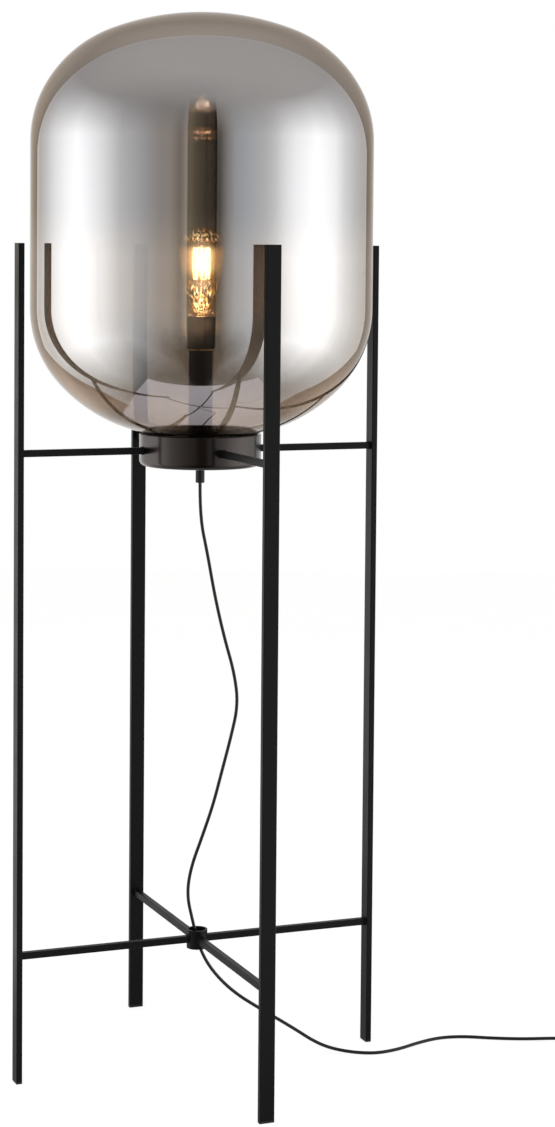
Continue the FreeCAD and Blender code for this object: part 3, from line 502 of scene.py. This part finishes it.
def settled_mesh(piece):
    """The plain mesh that Blender works out for a curve or for an object with a modifier."""
    bpy.context.view_layer.update()
    graph = bpy.context.evaluated_depsgraph_get()
    return bpy.data.meshes.new_from_object(piece.evaluated_get(graph), preserve_all_data_layers=True,
                                           depsgraph=graph)


def grow(name, start, tree, values):
    """Runs the tree on a start object with these inputs and returns a plain mesh piece."""
    modifier = start.modifiers.new("nodes", "NODES")
    modifier.node_group = tree
    for item in tree.interface.items_tree:
        if item.in_out == "INPUT" and item.name in values:
            modifier[item.identifier] = values[item.name]
    mesh = settled_mesh(start)
    mesh.name = name
    start.modifiers.remove(modifier)
    bpy.data.objects.remove(start)
    return into_scene(name, mesh)


def start_from(name, points, edges):
    """A bare wire object that a tree starts from."""
    mesh = bpy.data.meshes.new(name)
    mesh.from_pydata([tuple(p) for p in points], edges, [])
    return into_scene(name, mesh)


def outward(piece, merge_within=2e-6, sharp_from=35):
    """Merges doubles, drops loose edges and makes the faces point outwards."""
    work = bmesh.new()
    work.from_mesh(piece.data)
    bmesh.ops.remove_doubles(work, verts=work.verts, dist=merge_within)
    bmesh.ops.delete(work, geom=[e for e in work.edges if not e.link_faces], context="EDGES")
    bmesh.ops.recalc_face_normals(work, faces=work.faces)
    work.to_mesh(piece.data)
    work.free()
    piece.data.set_sharp_from_angle(angle=math.radians(sharp_from))
    print(piece.name, len(piece.data.polygons), "faces")
    return piece


# %% A tree for ribbed sleeves
rings_along, ring_corners, rib_share = 85, 28, 0.62
ribs, given = new_tree("Ribbed sleeve", (
    ("Root radius", "NodeSocketFloat", 0.0042), ("Tip radius", "NodeSocketFloat", 0.0029),
    ("Ribs", "NodeSocketInt", 7), ("Groove depth", "NodeSocketFloat", 0.0007),
    ("Finish", "NodeSocketMaterial", None)))
axis = put(ribs, "GeometryNodeMeshToCurve", [given["Start"]])
fine = put(ribs, "GeometryNodeResampleCurve", {"Curve": axis, "Count": rings_along})
way = put(ribs, "GeometryNodeSplineParameter").outputs["Factor"]
taper = put(ribs, "MapRange", [way, 0.0, 1.0, given["Root radius"], given["Tip radius"]])
phase = put(ribs, "Math", [way, given["Ribs"]], operation="MULTIPLY")
within = put(ribs, "Math", [phase], operation="FRACT")
wave = put(ribs, "Math", [within, rib_share], operation="GREATER_THAN")
groove = put(ribs, "Math", [wave, given["Groove depth"]], operation="MULTIPLY")
radius = put(ribs, "Math", [taper, groove], operation="SUBTRACT")
ring = put(ribs, "GeometryNodeCurvePrimitiveCircle", {"Resolution": ring_corners, "Radius": 1.0})
swept = put(ribs, "GeometryNodeCurveToMesh", {"Curve": fine, "Profile Curve": ring, "Scale": radius,
                                              "Fill Caps": True})
coated = put(ribs, "GeometryNodeSetMaterial", [swept, True, given["Finish"]])
whole = put(ribs, "GeometryNodeRealizeInstances", [coated])
put(ribs, "NodeGroupOutput", [whole])
print(ribs.name, len(ribs.nodes), "nodes")

# %% Sleeves on the switch and the plug
relief_ends = {
    "inlet_relief": (along(straight_in + relief_length, 0, switch_height),
                     along(straight_in, 0, switch_height)),
    "outlet_relief": (along(switch_out - relief_length, 0, switch_height),
                      along(switch_out, 0, switch_height)),
    "plug_boot": (plug_start + last_way * relief_length, plug_start),
}
reliefs = {}
for name, ends in relief_ends.items():
    reliefs[name] = outward(grow(name, start_from(name, ends, [(0, 1)]), ribs, {"Finish": rubber}))
    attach(reliefs[name], "frame")
    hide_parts("plug_relief" if name == "plug_boot" else "switch_reliefs")

# %% [markdown]
# A coil spring of plated wire holds the button up inside the switch. The frame's own spring could
# stay, but a frame piece keeps its shape, and the button would sink into it. So the spring is wound
# again as a tube along a helix, on a mesh of its own. The button travels 2.5 mm.

# %% The button's spring
spring_low, spring_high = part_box("switch_spring")
spring_wire, spring_turns, points_in_turn, button_travel = 0.0008, 4, 16, 0.0025
spring_axis = [(spring_low[i] + spring_high[i]) / 2 for i in (0, 1)]
spring_radius = (spring_high[0] - spring_low[0] - spring_wire) / 2
spring_climb = spring_high[2] - spring_low[2] - spring_wire
spring_steps = spring_turns * points_in_turn
helix = []
for step in range(spring_steps + 1):
    angle = 2 * math.pi * step / points_in_turn
    helix.append((spring_axis[0] + spring_radius * math.cos(angle),
                  spring_axis[1] + spring_radius * math.sin(angle),
                  spring_low[2] + spring_wire / 2 + spring_climb * step / spring_steps))
wound_wire = tube_from("wound_wire", helix, spring_wire)
button_spring = into_scene("button_spring", settled_mesh(wound_wire))
bpy.data.objects.remove(wound_wire)
button_spring.data.materials.clear()
button_spring.data.materials.append(zinc)
outward(button_spring)
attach(button_spring, "frame")
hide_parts("switch_spring")
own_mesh(button_spring)

# %% [markdown]
# ## Turned pieces
# The glass, the bulb, its cap and the canister are round, and a mirror shows every facet. So they are
# turned again here from their true arcs, finely enough to look smooth. Turning follows a rule, which
# suits Geometry Nodes: a grid of points gets one column for each step round the axis and one row for
# each point of the outline, and every point is moved to its outline point, turned by its column. The
# last row repeats the first. Points that then fall together, at the seam and on the axis, are merged,
# so nothing stays open.

# %% A tree that turns an outline
turning, given = new_tree("Turning", (
    ("Segments", "NodeSocketInt", 128), ("Rows", "NodeSocketInt", 10),
    ("Inner row", "NodeSocketInt", 10), ("Outer finish", "NodeSocketMaterial", None),
    ("Inner finish", "NodeSocketMaterial", None)))
columns = put(turning, "Math", [given["Segments"], 1.0], operation="ADD")
stack = put(turning, "Math", [given["Rows"], 1.0], operation="ADD")
grid = put(turning, "GeometryNodeMeshGrid", {"Vertices X": columns, "Vertices Y": stack})
index = put(turning, "GeometryNodeInputIndex")
share = put(turning, "Math", [index, stack], operation="DIVIDE")
column = put(turning, "Math", [share], operation="FLOOR")
row = put(turning, "Math", [index, given["Rows"]], operation="MODULO")
below = put(turning, "Math", [column, stack], operation="MULTIPLY")
count = put(turning, "Math", [index, below], operation="SUBTRACT")
step = put(turning, "Math", [count, given["Rows"]], operation="MODULO")
here = put(turning, "GeometryNodeInputPosition")
picked = put(turning, "GeometryNodeSampleIndex", [given["Start"], here, step],
             data_type="FLOAT_VECTOR")
part_turn = put(turning, "Math", [column, given["Segments"]], operation="DIVIDE")
angle = put(turning, "Math", [part_turn, 2 * math.pi], operation="MULTIPLY")
turned = put(turning, "VectorRotate", {"Vector": picked, "Angle": angle}, rotation_type="Z_AXIS")
moved = put(turning, "GeometryNodeSetPosition", {"Geometry": grid, "Position": turned})
inner = put(turning, "Math", [row, given["Inner row"]], operation="LESS_THAN")
inside = put(turning, "Math", [1.0, inner], operation="SUBTRACT")
first = put(turning, "GeometryNodeSetMaterial", [moved, True, given["Outer finish"]])
second = put(turning, "GeometryNodeSetMaterial", [first, inside, given["Inner finish"]])
whole = put(turning, "GeometryNodeRealizeInstances", [second])
smooth = put(turning, "GeometryNodeSetShadeSmooth", [whole])
put(turning, "NodeGroupOutput", [smooth])
print(turning.name, len(turning.nodes), "nodes")


# %% Turn a piece
def arc(centre, radius, start, end, steps):
    """Points on an arc from start to end, in degrees, both ends included."""
    angles = [math.radians(start + (end - start) * i / steps) for i in range(steps + 1)]
    return [(centre[0] + radius * math.cos(a), centre[1] + radius * math.sin(a)) for a in angles]


def turn(name, outline, finishes, segments, inner_row=None):
    """A closed solid of revolution from a closed outline of (radius, height) points."""
    start = start_from(name + "_outline", [(r, 0.0, z) for r, z in outline], [])
    rows = len(outline)
    return outward(grow(name, start, turning, {
        "Segments": segments, "Rows": rows, "Inner row": rows if inner_row is None else inner_row,
        "Outer finish": finishes[0], "Inner finish": finishes[-1]}))


# %% [markdown]
# The glass is a cylinder that runs into a belly and a flatter bowl below, and into a shoulder, a
# haunch and a shallow crown above. All these arcs touch smoothly, and the inner wall shares their
# centres, so the thickness stays even. The outer face carries the film.

# %% The arcs of the glass
glass_radius = 0.2265
glass_wall = 0.0035
belly_height = 1.0123
straight = 0.220
belly_arc, belly_turn = 0.1493, 41.6
bowl_arc = 0.2078
shoulder_arc, shoulder_turn = 0.148, 30.0
haunch_arc, crown_turn = 0.167, 69.0
neck_radius, neck_bend, neck_foot = 0.054, 0.007, 0.829

belly = (glass_radius - belly_arc, belly_height)
slip = math.radians(belly_turn)
bowl = (belly[0] + (belly_arc - bowl_arc) * math.cos(slip),
        belly[1] + (bowl_arc - belly_arc) * math.sin(slip))
fold_x = neck_radius + neck_bend
fold = (fold_x, bowl[1] - math.sqrt((bowl_arc + neck_bend) ** 2 - (fold_x - bowl[0]) ** 2))
fold_angle = math.degrees(math.atan2(fold[1] - bowl[1], fold[0] - bowl[0]))
shoulder = (glass_radius - shoulder_arc, belly_height + straight)
tilt = math.radians(shoulder_turn)
haunch = (shoulder[0] + (shoulder_arc - haunch_arc) * math.cos(tilt),
          shoulder[1] + (shoulder_arc - haunch_arc) * math.sin(tilt))
lean = math.radians(crown_turn)
crown_arc = (haunch[0] + haunch_arc * math.cos(lean)) / math.cos(lean)
crown = (0.0, haunch[1] + (haunch_arc - crown_arc) * math.sin(lean))
print("glass from", neck_foot, "m to", round(crown[1] + crown_arc, 4), "m")


# %% The glass
def glass_skin(inset):
    """The outline from the neck up to the axis, this far inside the outer face."""
    points = [(neck_radius - inset, neck_foot)]
    points += arc(fold, neck_bend + inset, 180, 180 + fold_angle, 10)
    points += arc(bowl, bowl_arc - inset, fold_angle, -belly_turn, 24)[1:]
    points += arc(belly, belly_arc - inset, -belly_turn, 0, 20)[1:]
    points += [(glass_radius - inset, belly_height + straight * i / 8) for i in range(1, 9)]
    points += arc(shoulder, shoulder_arc - inset, 0, shoulder_turn, 14)[1:]
    points += arc(haunch, haunch_arc - inset, shoulder_turn, crown_turn, 20)[1:]
    points += arc(crown, crown_arc - inset, crown_turn, 90, 14)[1:]
    points[-1] = (0.0, points[-1][1])
    return points


outer_skin = glass_skin(0.0)
glass_outline = outer_skin + list(reversed(glass_skin(glass_wall)))
globe_glass = turn("globe_glass", glass_outline, [film, inner_wall], 200, len(outer_skin) - 1)
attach(globe_glass, "shade")
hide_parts("glass_shade")

# %% [markdown]
# The canister is spun sheet steel: a flat floor, a rounded lower edge, a straight wall and a narrow
# flange turned inwards at the top for the glass to rest on.

# %% The canister
can_radius, can_wall, can_edge = 0.081, 0.002, 0.008
can_bottom, can_top = 0.8035, 0.846
rim_inner, rim_bevel, floor_hole = 0.073, 0.0006, 0.0051
edge_centre = (can_radius - can_edge, can_bottom + can_edge)
can_outline = [(floor_hole, can_bottom)] + arc(edge_centre, can_edge, -90, 0, 10)
can_outline += [(can_radius, can_top - rim_bevel)]
can_outline += arc((can_radius - rim_bevel, can_top - rim_bevel), rim_bevel, 20, 90, 4)
can_outline += [(rim_inner, can_top), (rim_inner, can_top - can_wall),
                (can_radius - can_wall, can_top - can_wall)]
can_outline += arc(edge_centre, can_edge - can_wall, 0, -90, 8)
can_outline += [(floor_hole, can_bottom + can_wall)]
spun_canister = turn("spun_canister", can_outline, [smooth_coat], 160)
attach(spun_canister, "frame")
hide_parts("canister")

# %% [markdown]
# ## The bulb
# A long teardrop on an E27 cap. Its outline is a long arc from the neck to the widest point, a
# quicker one over the shoulder, and a wide one across the top.

# %% Bulb glass's shape
cap_bottom, cap_top, glass_in_cap = 0.9810, 1.0015, 0.006
bulb_neck_radius, bulb_radius, bulb_wall = 0.012, 0.0311, 0.0008
bulb_neck, bulb_wide, bulb_top, dome_turn = 1.0030, 1.0960, 1.1211, 50

swell = bulb_radius - bulb_neck_radius
long_arc = (swell ** 2 + (bulb_wide - bulb_neck) ** 2) / (2 * swell)
side = (bulb_radius - long_arc, bulb_wide)
foot = -math.degrees(math.asin((bulb_wide - bulb_neck) / long_arc))
bend = math.radians(dome_turn)
flat = (1 - math.sin(bend)) / math.cos(bend)
dome = bulb_top - bulb_wide
upper_arc = (dome - bulb_radius * flat) / (math.sin(bend) - (1 - math.cos(bend)) * flat)
upper = (bulb_radius - upper_arc, bulb_wide)
top_arc = (upper[0] + upper_arc * math.cos(bend)) / math.cos(bend)


def bulb_skin(inset):
    """The outline from inside the cap up to the axis, this far inside the outer face."""
    points = arc(side, long_arc - inset, foot, 0, 26)
    points = [(points[0][0], cap_top - glass_in_cap)] + points
    points += arc(upper, upper_arc - inset, 0, dome_turn, 12)[1:]
    points += arc((0, bulb_top - top_arc), top_arc - inset, dome_turn, 90, 12)[1:]
    points[-1] = (0.0, points[-1][1])
    return points


bulb_outline = bulb_skin(0.0) + list(reversed(bulb_skin(bulb_wall)))
bulb_envelope = turn("bulb_envelope", bulb_outline, [amber], 72)
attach(bulb_envelope, "bulb")
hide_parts("bulb_glass")

# %% [markdown]
# Inside stands the glass mount: a flare closes the neck, a rod rises from it, and a thin stalk runs
# up through the cage of filament.

# %% The glass mount
flare_low, flare_rim = cap_top - 0.005, 0.0012
flare_radius, flare_spread, flare_rise = 0.0111, 0.0071, 0.0078
rod_radius, rod_top, rod_shoulder, rod_end = 0.004, 0.0325, 0.034, 0.0345
stalk_radius, stalk_top, stalk_tip = 0.0012, 1.0955, 1.096
mount_outline = [(0.0, flare_low), (flare_radius, flare_low), (flare_radius, flare_low + flare_rim)]
mount_outline += [(rod_radius + flare_spread * (1 - t) ** 2, flare_low + flare_rim + flare_rise * t)
                  for t in (0.15, 0.3, 0.5, 0.7, 0.85, 1.0)]
mount_outline += [(rod_radius, flare_low + rod_top), (0.0035, flare_low + rod_shoulder),
                  (stalk_radius, flare_low + rod_end), (stalk_radius, stalk_top), (0.0008, stalk_tip),
                  (0.0, stalk_tip)]
mount_glass = turn("mount_glass", mount_outline, [clear_glass], 32)
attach(mount_glass, "bulb")
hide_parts("bulb_mount")

# %% [markdown]
# The cap's thread is rolled from thin brass, one wave for each turn of a helix, so it is pressed
# into the turned cap point by point. The cap's two ends stay plain.

# %% The screw cap
cap_radius, thread_depth, thread_pitch, cap_sheet = 0.0132, 0.0006, 0.0036, 0.0004
plain_below, plain_above, cap_steps = 0.001, 0.002, 60
cap_rows = [(cap_radius - thread_depth, cap_bottom)]
cap_rows += [(cap_radius, cap_bottom + (cap_top - cap_bottom) * i / cap_steps)
             for i in range(1, cap_steps + 1)]
cap_rows += [(cap_radius - thread_depth - cap_sheet, z) for z in (cap_top, cap_bottom)]
screw_cap = turn("screw_cap", cap_rows, [brass], 72)
for vertex in screw_cap.data.vertices:
    x, y, z = vertex.co
    outer_face = math.hypot(x, y) > cap_radius - thread_depth / 2
    if outer_face and cap_bottom + plain_below < z < cap_top - plain_above:
        wave = math.cos(math.atan2(y, x) - 2 * math.pi * (z - cap_bottom) / thread_pitch)
        shrink = 1 - thread_depth * (1 - wave) / 2 / cap_radius
        vertex.co = (x * shrink, y * shrink, z)
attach(screw_cap, "bulb")
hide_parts("bulb_cap")

# %% [markdown]
# The filament is one wire laced up and down between two rings of hooks. It has ten glowing strokes,
# each a little bowed, as a hot wire hangs. A real wire is finer; it is drawn 1.7 mm thick so that
# its glow shows.

# %% The filament
filament_radius, filament_low, filament_high = 0.0108, 1.051, 1.092
strokes, glow_diameter, stroke_bow = 10, 0.0017, 0.0006
lacing = []
for stroke in range(strokes):
    angle = 2 * math.pi * stroke / strokes
    ends = (filament_low, filament_high) if stroke % 2 == 0 else (filament_high, filament_low)
    for share in (0.0, 0.12, 0.5, 0.88, 1.0):
        r = filament_radius + (stroke_bow if share == 0.5 else 0.0)
        lacing.append((r * math.cos(angle), r * math.sin(angle), ends[0] + (ends[1] - ends[0]) * share))
glow_wire = tube_from("glow_wire", lacing, glow_diameter)
glow_wire.data.materials.append(glow)
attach(glow_wire, "bulb")
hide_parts("filament")

# %% [markdown]
# ## Weld beads
# Each arm and each cross bar is welded all round where it meets a leg, the canister or the hub. A
# hand-laid bead is a row of overlapping drops, under the powder coat. Drops that follow a path are
# work for Geometry Nodes: the path is the outline of each joint, and a small flattened ball is laid
# on it every millimetre and a half, each a little different.

# %% The joints' outlines
bar_half, leg_face = 0.0045, 0.246
arm_level, cross_level = 0.825, 0.167
hub_radius = 0.0139
joints = [(arm_level, can_radius), (arm_level, leg_face), (cross_level, hub_radius),
          (cross_level, leg_face)]
bar_outline = ((-1, -1), (0, -1), (1, -1), (1, 0), (1, 1), (0, 1), (-1, 1), (-1, 0))
outline_points = len(bar_outline)
loops, loop_edges = [], []
for quarter in range(4):
    turn_by = Matrix.Rotation(math.pi / 2 * quarter, 3, "Z")
    for height, radius in joints:
        first_point = len(loops)
        for side_way, up in bar_outline:
            y = side_way * bar_half
            x = radius if radius == leg_face else math.sqrt(radius ** 2 - y ** 2)
            loops.append(turn_by @ Vector((x, y, height + up * bar_half)))
        loop_edges += [(first_point + i, first_point + (i + 1) % outline_points)
                       for i in range(outline_points)]
print("weld outlines:", 4 * len(joints))

# %% Beads along the outlines
beading, given = new_tree("Weld bead", (
    ("Spacing", "NodeSocketFloat", 0.0015), ("Drop radius", "NodeSocketFloat", 0.0011),
    ("Seed", "NodeSocketInt", 7), ("Finish", "NodeSocketMaterial", None)))
path = put(beading, "GeometryNodeMeshToCurve", [given["Start"]])
places = put(beading, "GeometryNodeCurveToPoints", {"Curve": path, "Length": given["Spacing"]},
             mode="LENGTH")
drop = put(beading, "GeometryNodeMeshUVSphere", [8, 5, given["Drop radius"]])
vary = put(beading, "FunctionNodeRandomValue", {"Min": (0.8, 0.8, 0.8), "Max": (1.15, 1.15, 1.15),
                                                "Seed": given["Seed"]}, data_type="FLOAT_VECTOR")
laid = put(beading, "GeometryNodeInstanceOnPoints", {"Points": places, "Instance": drop, "Scale": vary})
solid = put(beading, "GeometryNodeRealizeInstances", [laid])
round_drops = put(beading, "GeometryNodeSetShadeSmooth", [solid])
coated = put(beading, "GeometryNodeSetMaterial", [round_drops, True, given["Finish"]])
put(beading, "NodeGroupOutput", [coated])
weld_beads = grow("weld_beads", start_from("joint_outlines", loops, loop_edges), beading,
                  {"Finish": powder_coat, "Seed": 7})
print("weld_beads", len(weld_beads.data.polygons), "faces")
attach(weld_beads, "frame")

# %% [markdown]
# ## The studio
# The lamp stands on a pale board, on a wider floor of the same paint that fills the picture. Only the
# board shows in mirrors, as a grey-lilac patch low in the glass. The camera, and what is seen through
# glass, gets most of its white from a plain glow, so that the picture has a clean background, and the
# rest from the paint, which takes the lamp's soft shadow.

# %% The paint
floor_white, white_share, board_in_mirrors = 1.11, 0.8, (0.50, 0.465, 0.49, 1.0)


def seen(tree, kinds):
    """1 for rays of these kinds, 0 for the rest."""
    path = put(tree, "LightPath")
    total = path.outputs[kinds[0]]
    for kind in kinds[1:]:
        total = put(tree, "Math", [total, path.outputs[kind]], operation="MAXIMUM")
    return total


painted, tree, place = new_finish("pale_matt_paint")
paint, _ = mottled(tree, place, 400.0, "#f3f2f4", "#f7f6f8", 2.0)
plain = put(tree, "BsdfDiffuse", [paint])
lit = put(tree, "Emission", [rgba(1.0), floor_white])
mirrored = put(tree, "Emission", [board_in_mirrors, 1.0])
looked_at = seen(tree, ("Is Camera Ray", "Is Transmission Ray"))
whitened = put(tree, "Math", [looked_at, white_share], operation="MULTIPLY")
to_eye = put(tree, "MixShader", [whitened, plain, lit])
in_mirror = seen(tree, ("Is Glossy Ray",))
to_mirror = put(tree, "MixShader", [in_mirror, to_eye, mirrored])
put(tree, "OutputMaterial", [to_mirror])
print("finish:", painted.name)

# %% Board and floor
aside, ahead = Vector((*picture_right, 0)), Vector((picture_right[1], -picture_right[0], 0))
sheets = (  # name, left, right, back, front, height, whether it shows in mirrors
    ("board", -0.51, 0.58, -1.0, 0.37, -0.0002, True),
    ("wide_floor", -4, 4, -5, 2.5, -0.0006, False))
for name, left, right, back, front, level, in_mirrors in sheets:
    corners = [aside * s + ahead * t + Vector((0, 0, level))
               for s, t in ((left, front), (right, front), (right, back), (left, back))]
    mesh = bpy.data.meshes.new(name)
    mesh.from_pydata(corners, [], [(0, 1, 2, 3)])
    mesh.materials.append(painted)
    sheet = into_scene(name, mesh)
    sheet.visible_glossy = in_mirrors
print("sheets:", [sheet[0] for sheet in sheets])

# %% [markdown]
# ## The room
# The room is drawn in the world: tall soft panels left and right, a dark opening between them where
# the camera stood, a grey ceiling and a white backdrop. The glass mirrors all of these. The world's
# colour depends on the direction round the lamp, counted from the camera, and on the height. The dark
# opening is a second plan, laid over the first between its two sharp edges and below the lintel.

# %% The room's plan
room_plan = [  # degrees to the camera's right, brightness, warmth
    (-180, 1.0, 0), (-143, 1.15, 0.2), (-136, 0.92, 0.1), (-126, 1.06, 0), (-113, 1.42, 0),
    (-101, 1.69, 0), (-90, 1.90, 0), (-80, 1.66, 0), (-70, 1.37, 0), (-54, 0.78, 0), (-40, 0.565, 0),
    (-33, 0.457, 0.2), (-26, 0.368, 0.6), (-20, 0.352, 0.9), (-13.4, 0.215, 1.3), (-11.5, 0.276, 1.2),
    (-9.2, 0.387, 1.1), (11, 0.085, 0.9), (12.6, 0.100, 0.9), (17.2, 0.300, 0.4), (22.3, 0.490, -0.2),
    (29, 0.578, -0.3), (42.5, 0.741, 0), (49.6, 0.932, 0), (56.8, 1.27, 0), (64.4, 1.545, 0),
    (82, 1.90, 0), (99.5, 1.62, 0), (110.5, 1.19, 0), (124, 0.94, 0), (133, 0.88, 0.1), (180, 1.0, 0)]
ceiling_plan = [(-180, 0.50), (-90, 0.43), (-50, 0.34), (-25, 0.29), (5, 0.32), (32, 0.44), (90, 0.54),
                (180, 0.50)]
opening_left, opening_right, edge_softness, opening_tint = -8.7, 10.5, 0.25, (1.25, 1.0, 0.68)
opening_plan = [(-8.7, 0.15), (-7.0, 0.155), (-3.7, 0.105), (-0.5, 0.075), (2.4, 0.060), (3.4, 0.038),
                (4.6, 0.050), (6.6, 0.042), (8.6, 0.029), (9.6, 0.010), (10.5, 0.008)]
full = 2.0  # the background's strength; the plans' brightness is divided by it
print("room:", len(room_plan), "steps round the lamp")


def shade_of(light, warmth):
    """A grey of this brightness, warmer or cooler by a seventh for each unit of warmth."""
    level = light / full
    return (level * (1 + 0.14 * warmth), level, level * (1 - 0.14 * warmth), 1.0)


# %% Walls and ceiling
room = bpy.data.worlds.new("studio_room")
bpy.context.scene.world = room
room.use_nodes = True
tree = room.node_tree
tree.nodes.clear()
way = put(tree, "TexCoord").outputs["Generated"]
to_right = put(tree, "VectorMath", [way, tuple(aside)], operation="DOT_PRODUCT")
to_front = put(tree, "VectorMath", [way, tuple(ahead)], operation="DOT_PRODUCT")
around = put(tree, "Math", [to_right, to_front], operation="ARCTAN2")
degrees = put(tree, "Math", [around, 180 / math.pi], operation="MULTIPLY")
turn_share = put(tree, "MapRange", [degrees, -180.0, 180.0])
walls = put(tree, "ValToRGB", [turn_share],
            stops=[((d + 180) / 360, shade_of(light, warmth)) for d, light, warmth in room_plan])
rise = put(tree, "SeparateXYZ", [way]).outputs["Z"]  # the sine of the angle above the horizon
high = put(tree, "MapRange", [rise, 0.45, 0.92])
coving = put(tree, "ValToRGB", [turn_share],
             stops=[((d + 180) / 360, shade_of(light, 0.15)) for d, light in ceiling_plan])
ceiling = put(tree, "Mix", {0: high, 6: coving, 7: shade_of(0.52, 0.3)}, data_type="RGBA")
overhead = put(tree, "MapRange", [rise, 0.02, 0.58])
with_ceiling = put(tree, "Mix", {0: overhead, 6: walls, 7: ceiling}, data_type="RGBA")
print("walls and ceiling:", len(tree.nodes), "nodes")

# %% The dark opening
across = put(tree, "MapRange", [degrees, opening_left, opening_right])
span = opening_right - opening_left
depths = put(tree, "ValToRGB", [across], stops=[
    ((d - opening_left) / span, (*(part * v / full for part in opening_tint), 1.0))
    for d, v in opening_plan])
past_left = put(tree, "MapRange", [degrees, opening_left - edge_softness, opening_left + edge_softness])
past_right = put(tree, "MapRange", [degrees, opening_right + edge_softness,
                                    opening_right - edge_softness])
lintel = put(tree, "MapRange", [rise, 0.66, 0.34], interpolation_type="SMOOTHSTEP")
width = put(tree, "Math", [past_left, past_right], operation="MULTIPLY")
opening = put(tree, "Math", [width, lintel], operation="MULTIPLY")
with_opening = put(tree, "Mix", {0: opening, 6: with_ceiling, 7: depths}, data_type="RGBA")
print("with the opening:", len(tree.nodes), "nodes")

# %% [markdown]
# Low down the room is dark, most of all in front, under the camera, and the glass's bowl mirrors that.
# The camera itself, and what is seen through glass, gets plain white instead of the room.

# %% The dark below, and a clean background
white, nearly_black = 1.0 / full, (0.004, 0.0035, 0.003, 1.0)
low = put(tree, "MapRange", [rise, -0.12, -0.72], interpolation_type="SMOOTHSTEP")
off_front = put(tree, "Math", [degrees], operation="ABSOLUTE")
front = put(tree, "MapRange", [off_front, 50.0, 14.0])
dim_front = put(tree, "Math", [low, front], operation="MULTIPLY")
lowest = put(tree, "MapRange", [rise, -0.42, -0.90, 0.0, 0.9])
dim = put(tree, "Math", [dim_front, lowest], operation="MAXIMUM")
furnished = put(tree, "Mix", {0: dim, 6: with_opening, 7: nearly_black}, data_type="RGBA")
behind = put(tree, "MapRange", [to_front, 0.1, -0.3])
through_glass = seen(tree, ("Is Transmission Ray",))
through = put(tree, "Math", [through_glass, behind], operation="MULTIPLY")
by_camera = seen(tree, ("Is Camera Ray",))
plain_white = put(tree, "Math", [through, by_camera], operation="MAXIMUM")
clean = put(tree, "Mix", {0: plain_white, 6: furnished, 7: rgba(white)}, data_type="RGBA")
light = put(tree, "Background", [clean, full])
put(tree, "OutputWorld", [light])
print("the whole room:", len(tree.nodes), "nodes")

# %% [markdown]
# One broad lamp overhead gives the floor its soft shadow. Mirrors don't show it.

# %% The lamp overhead
softbox = bpy.data.lights.new("overhead_softbox", "AREA")
softbox.shape = "DISK"
softbox.size = 2.4
softbox.energy = 60.0
overhead_lamp = into_scene("overhead_softbox", softbox)
overhead_lamp.location = (-0.4, -0.8, 3.4)
overhead_lamp.rotation_euler = (math.radians(-14), math.radians(-7), 0)
overhead_lamp.visible_glossy = False
overhead_lamp.visible_transmission = False
bpy.context.scene.view_settings.view_transform = "Standard"
print("overhead lamp:", softbox.energy, "W")
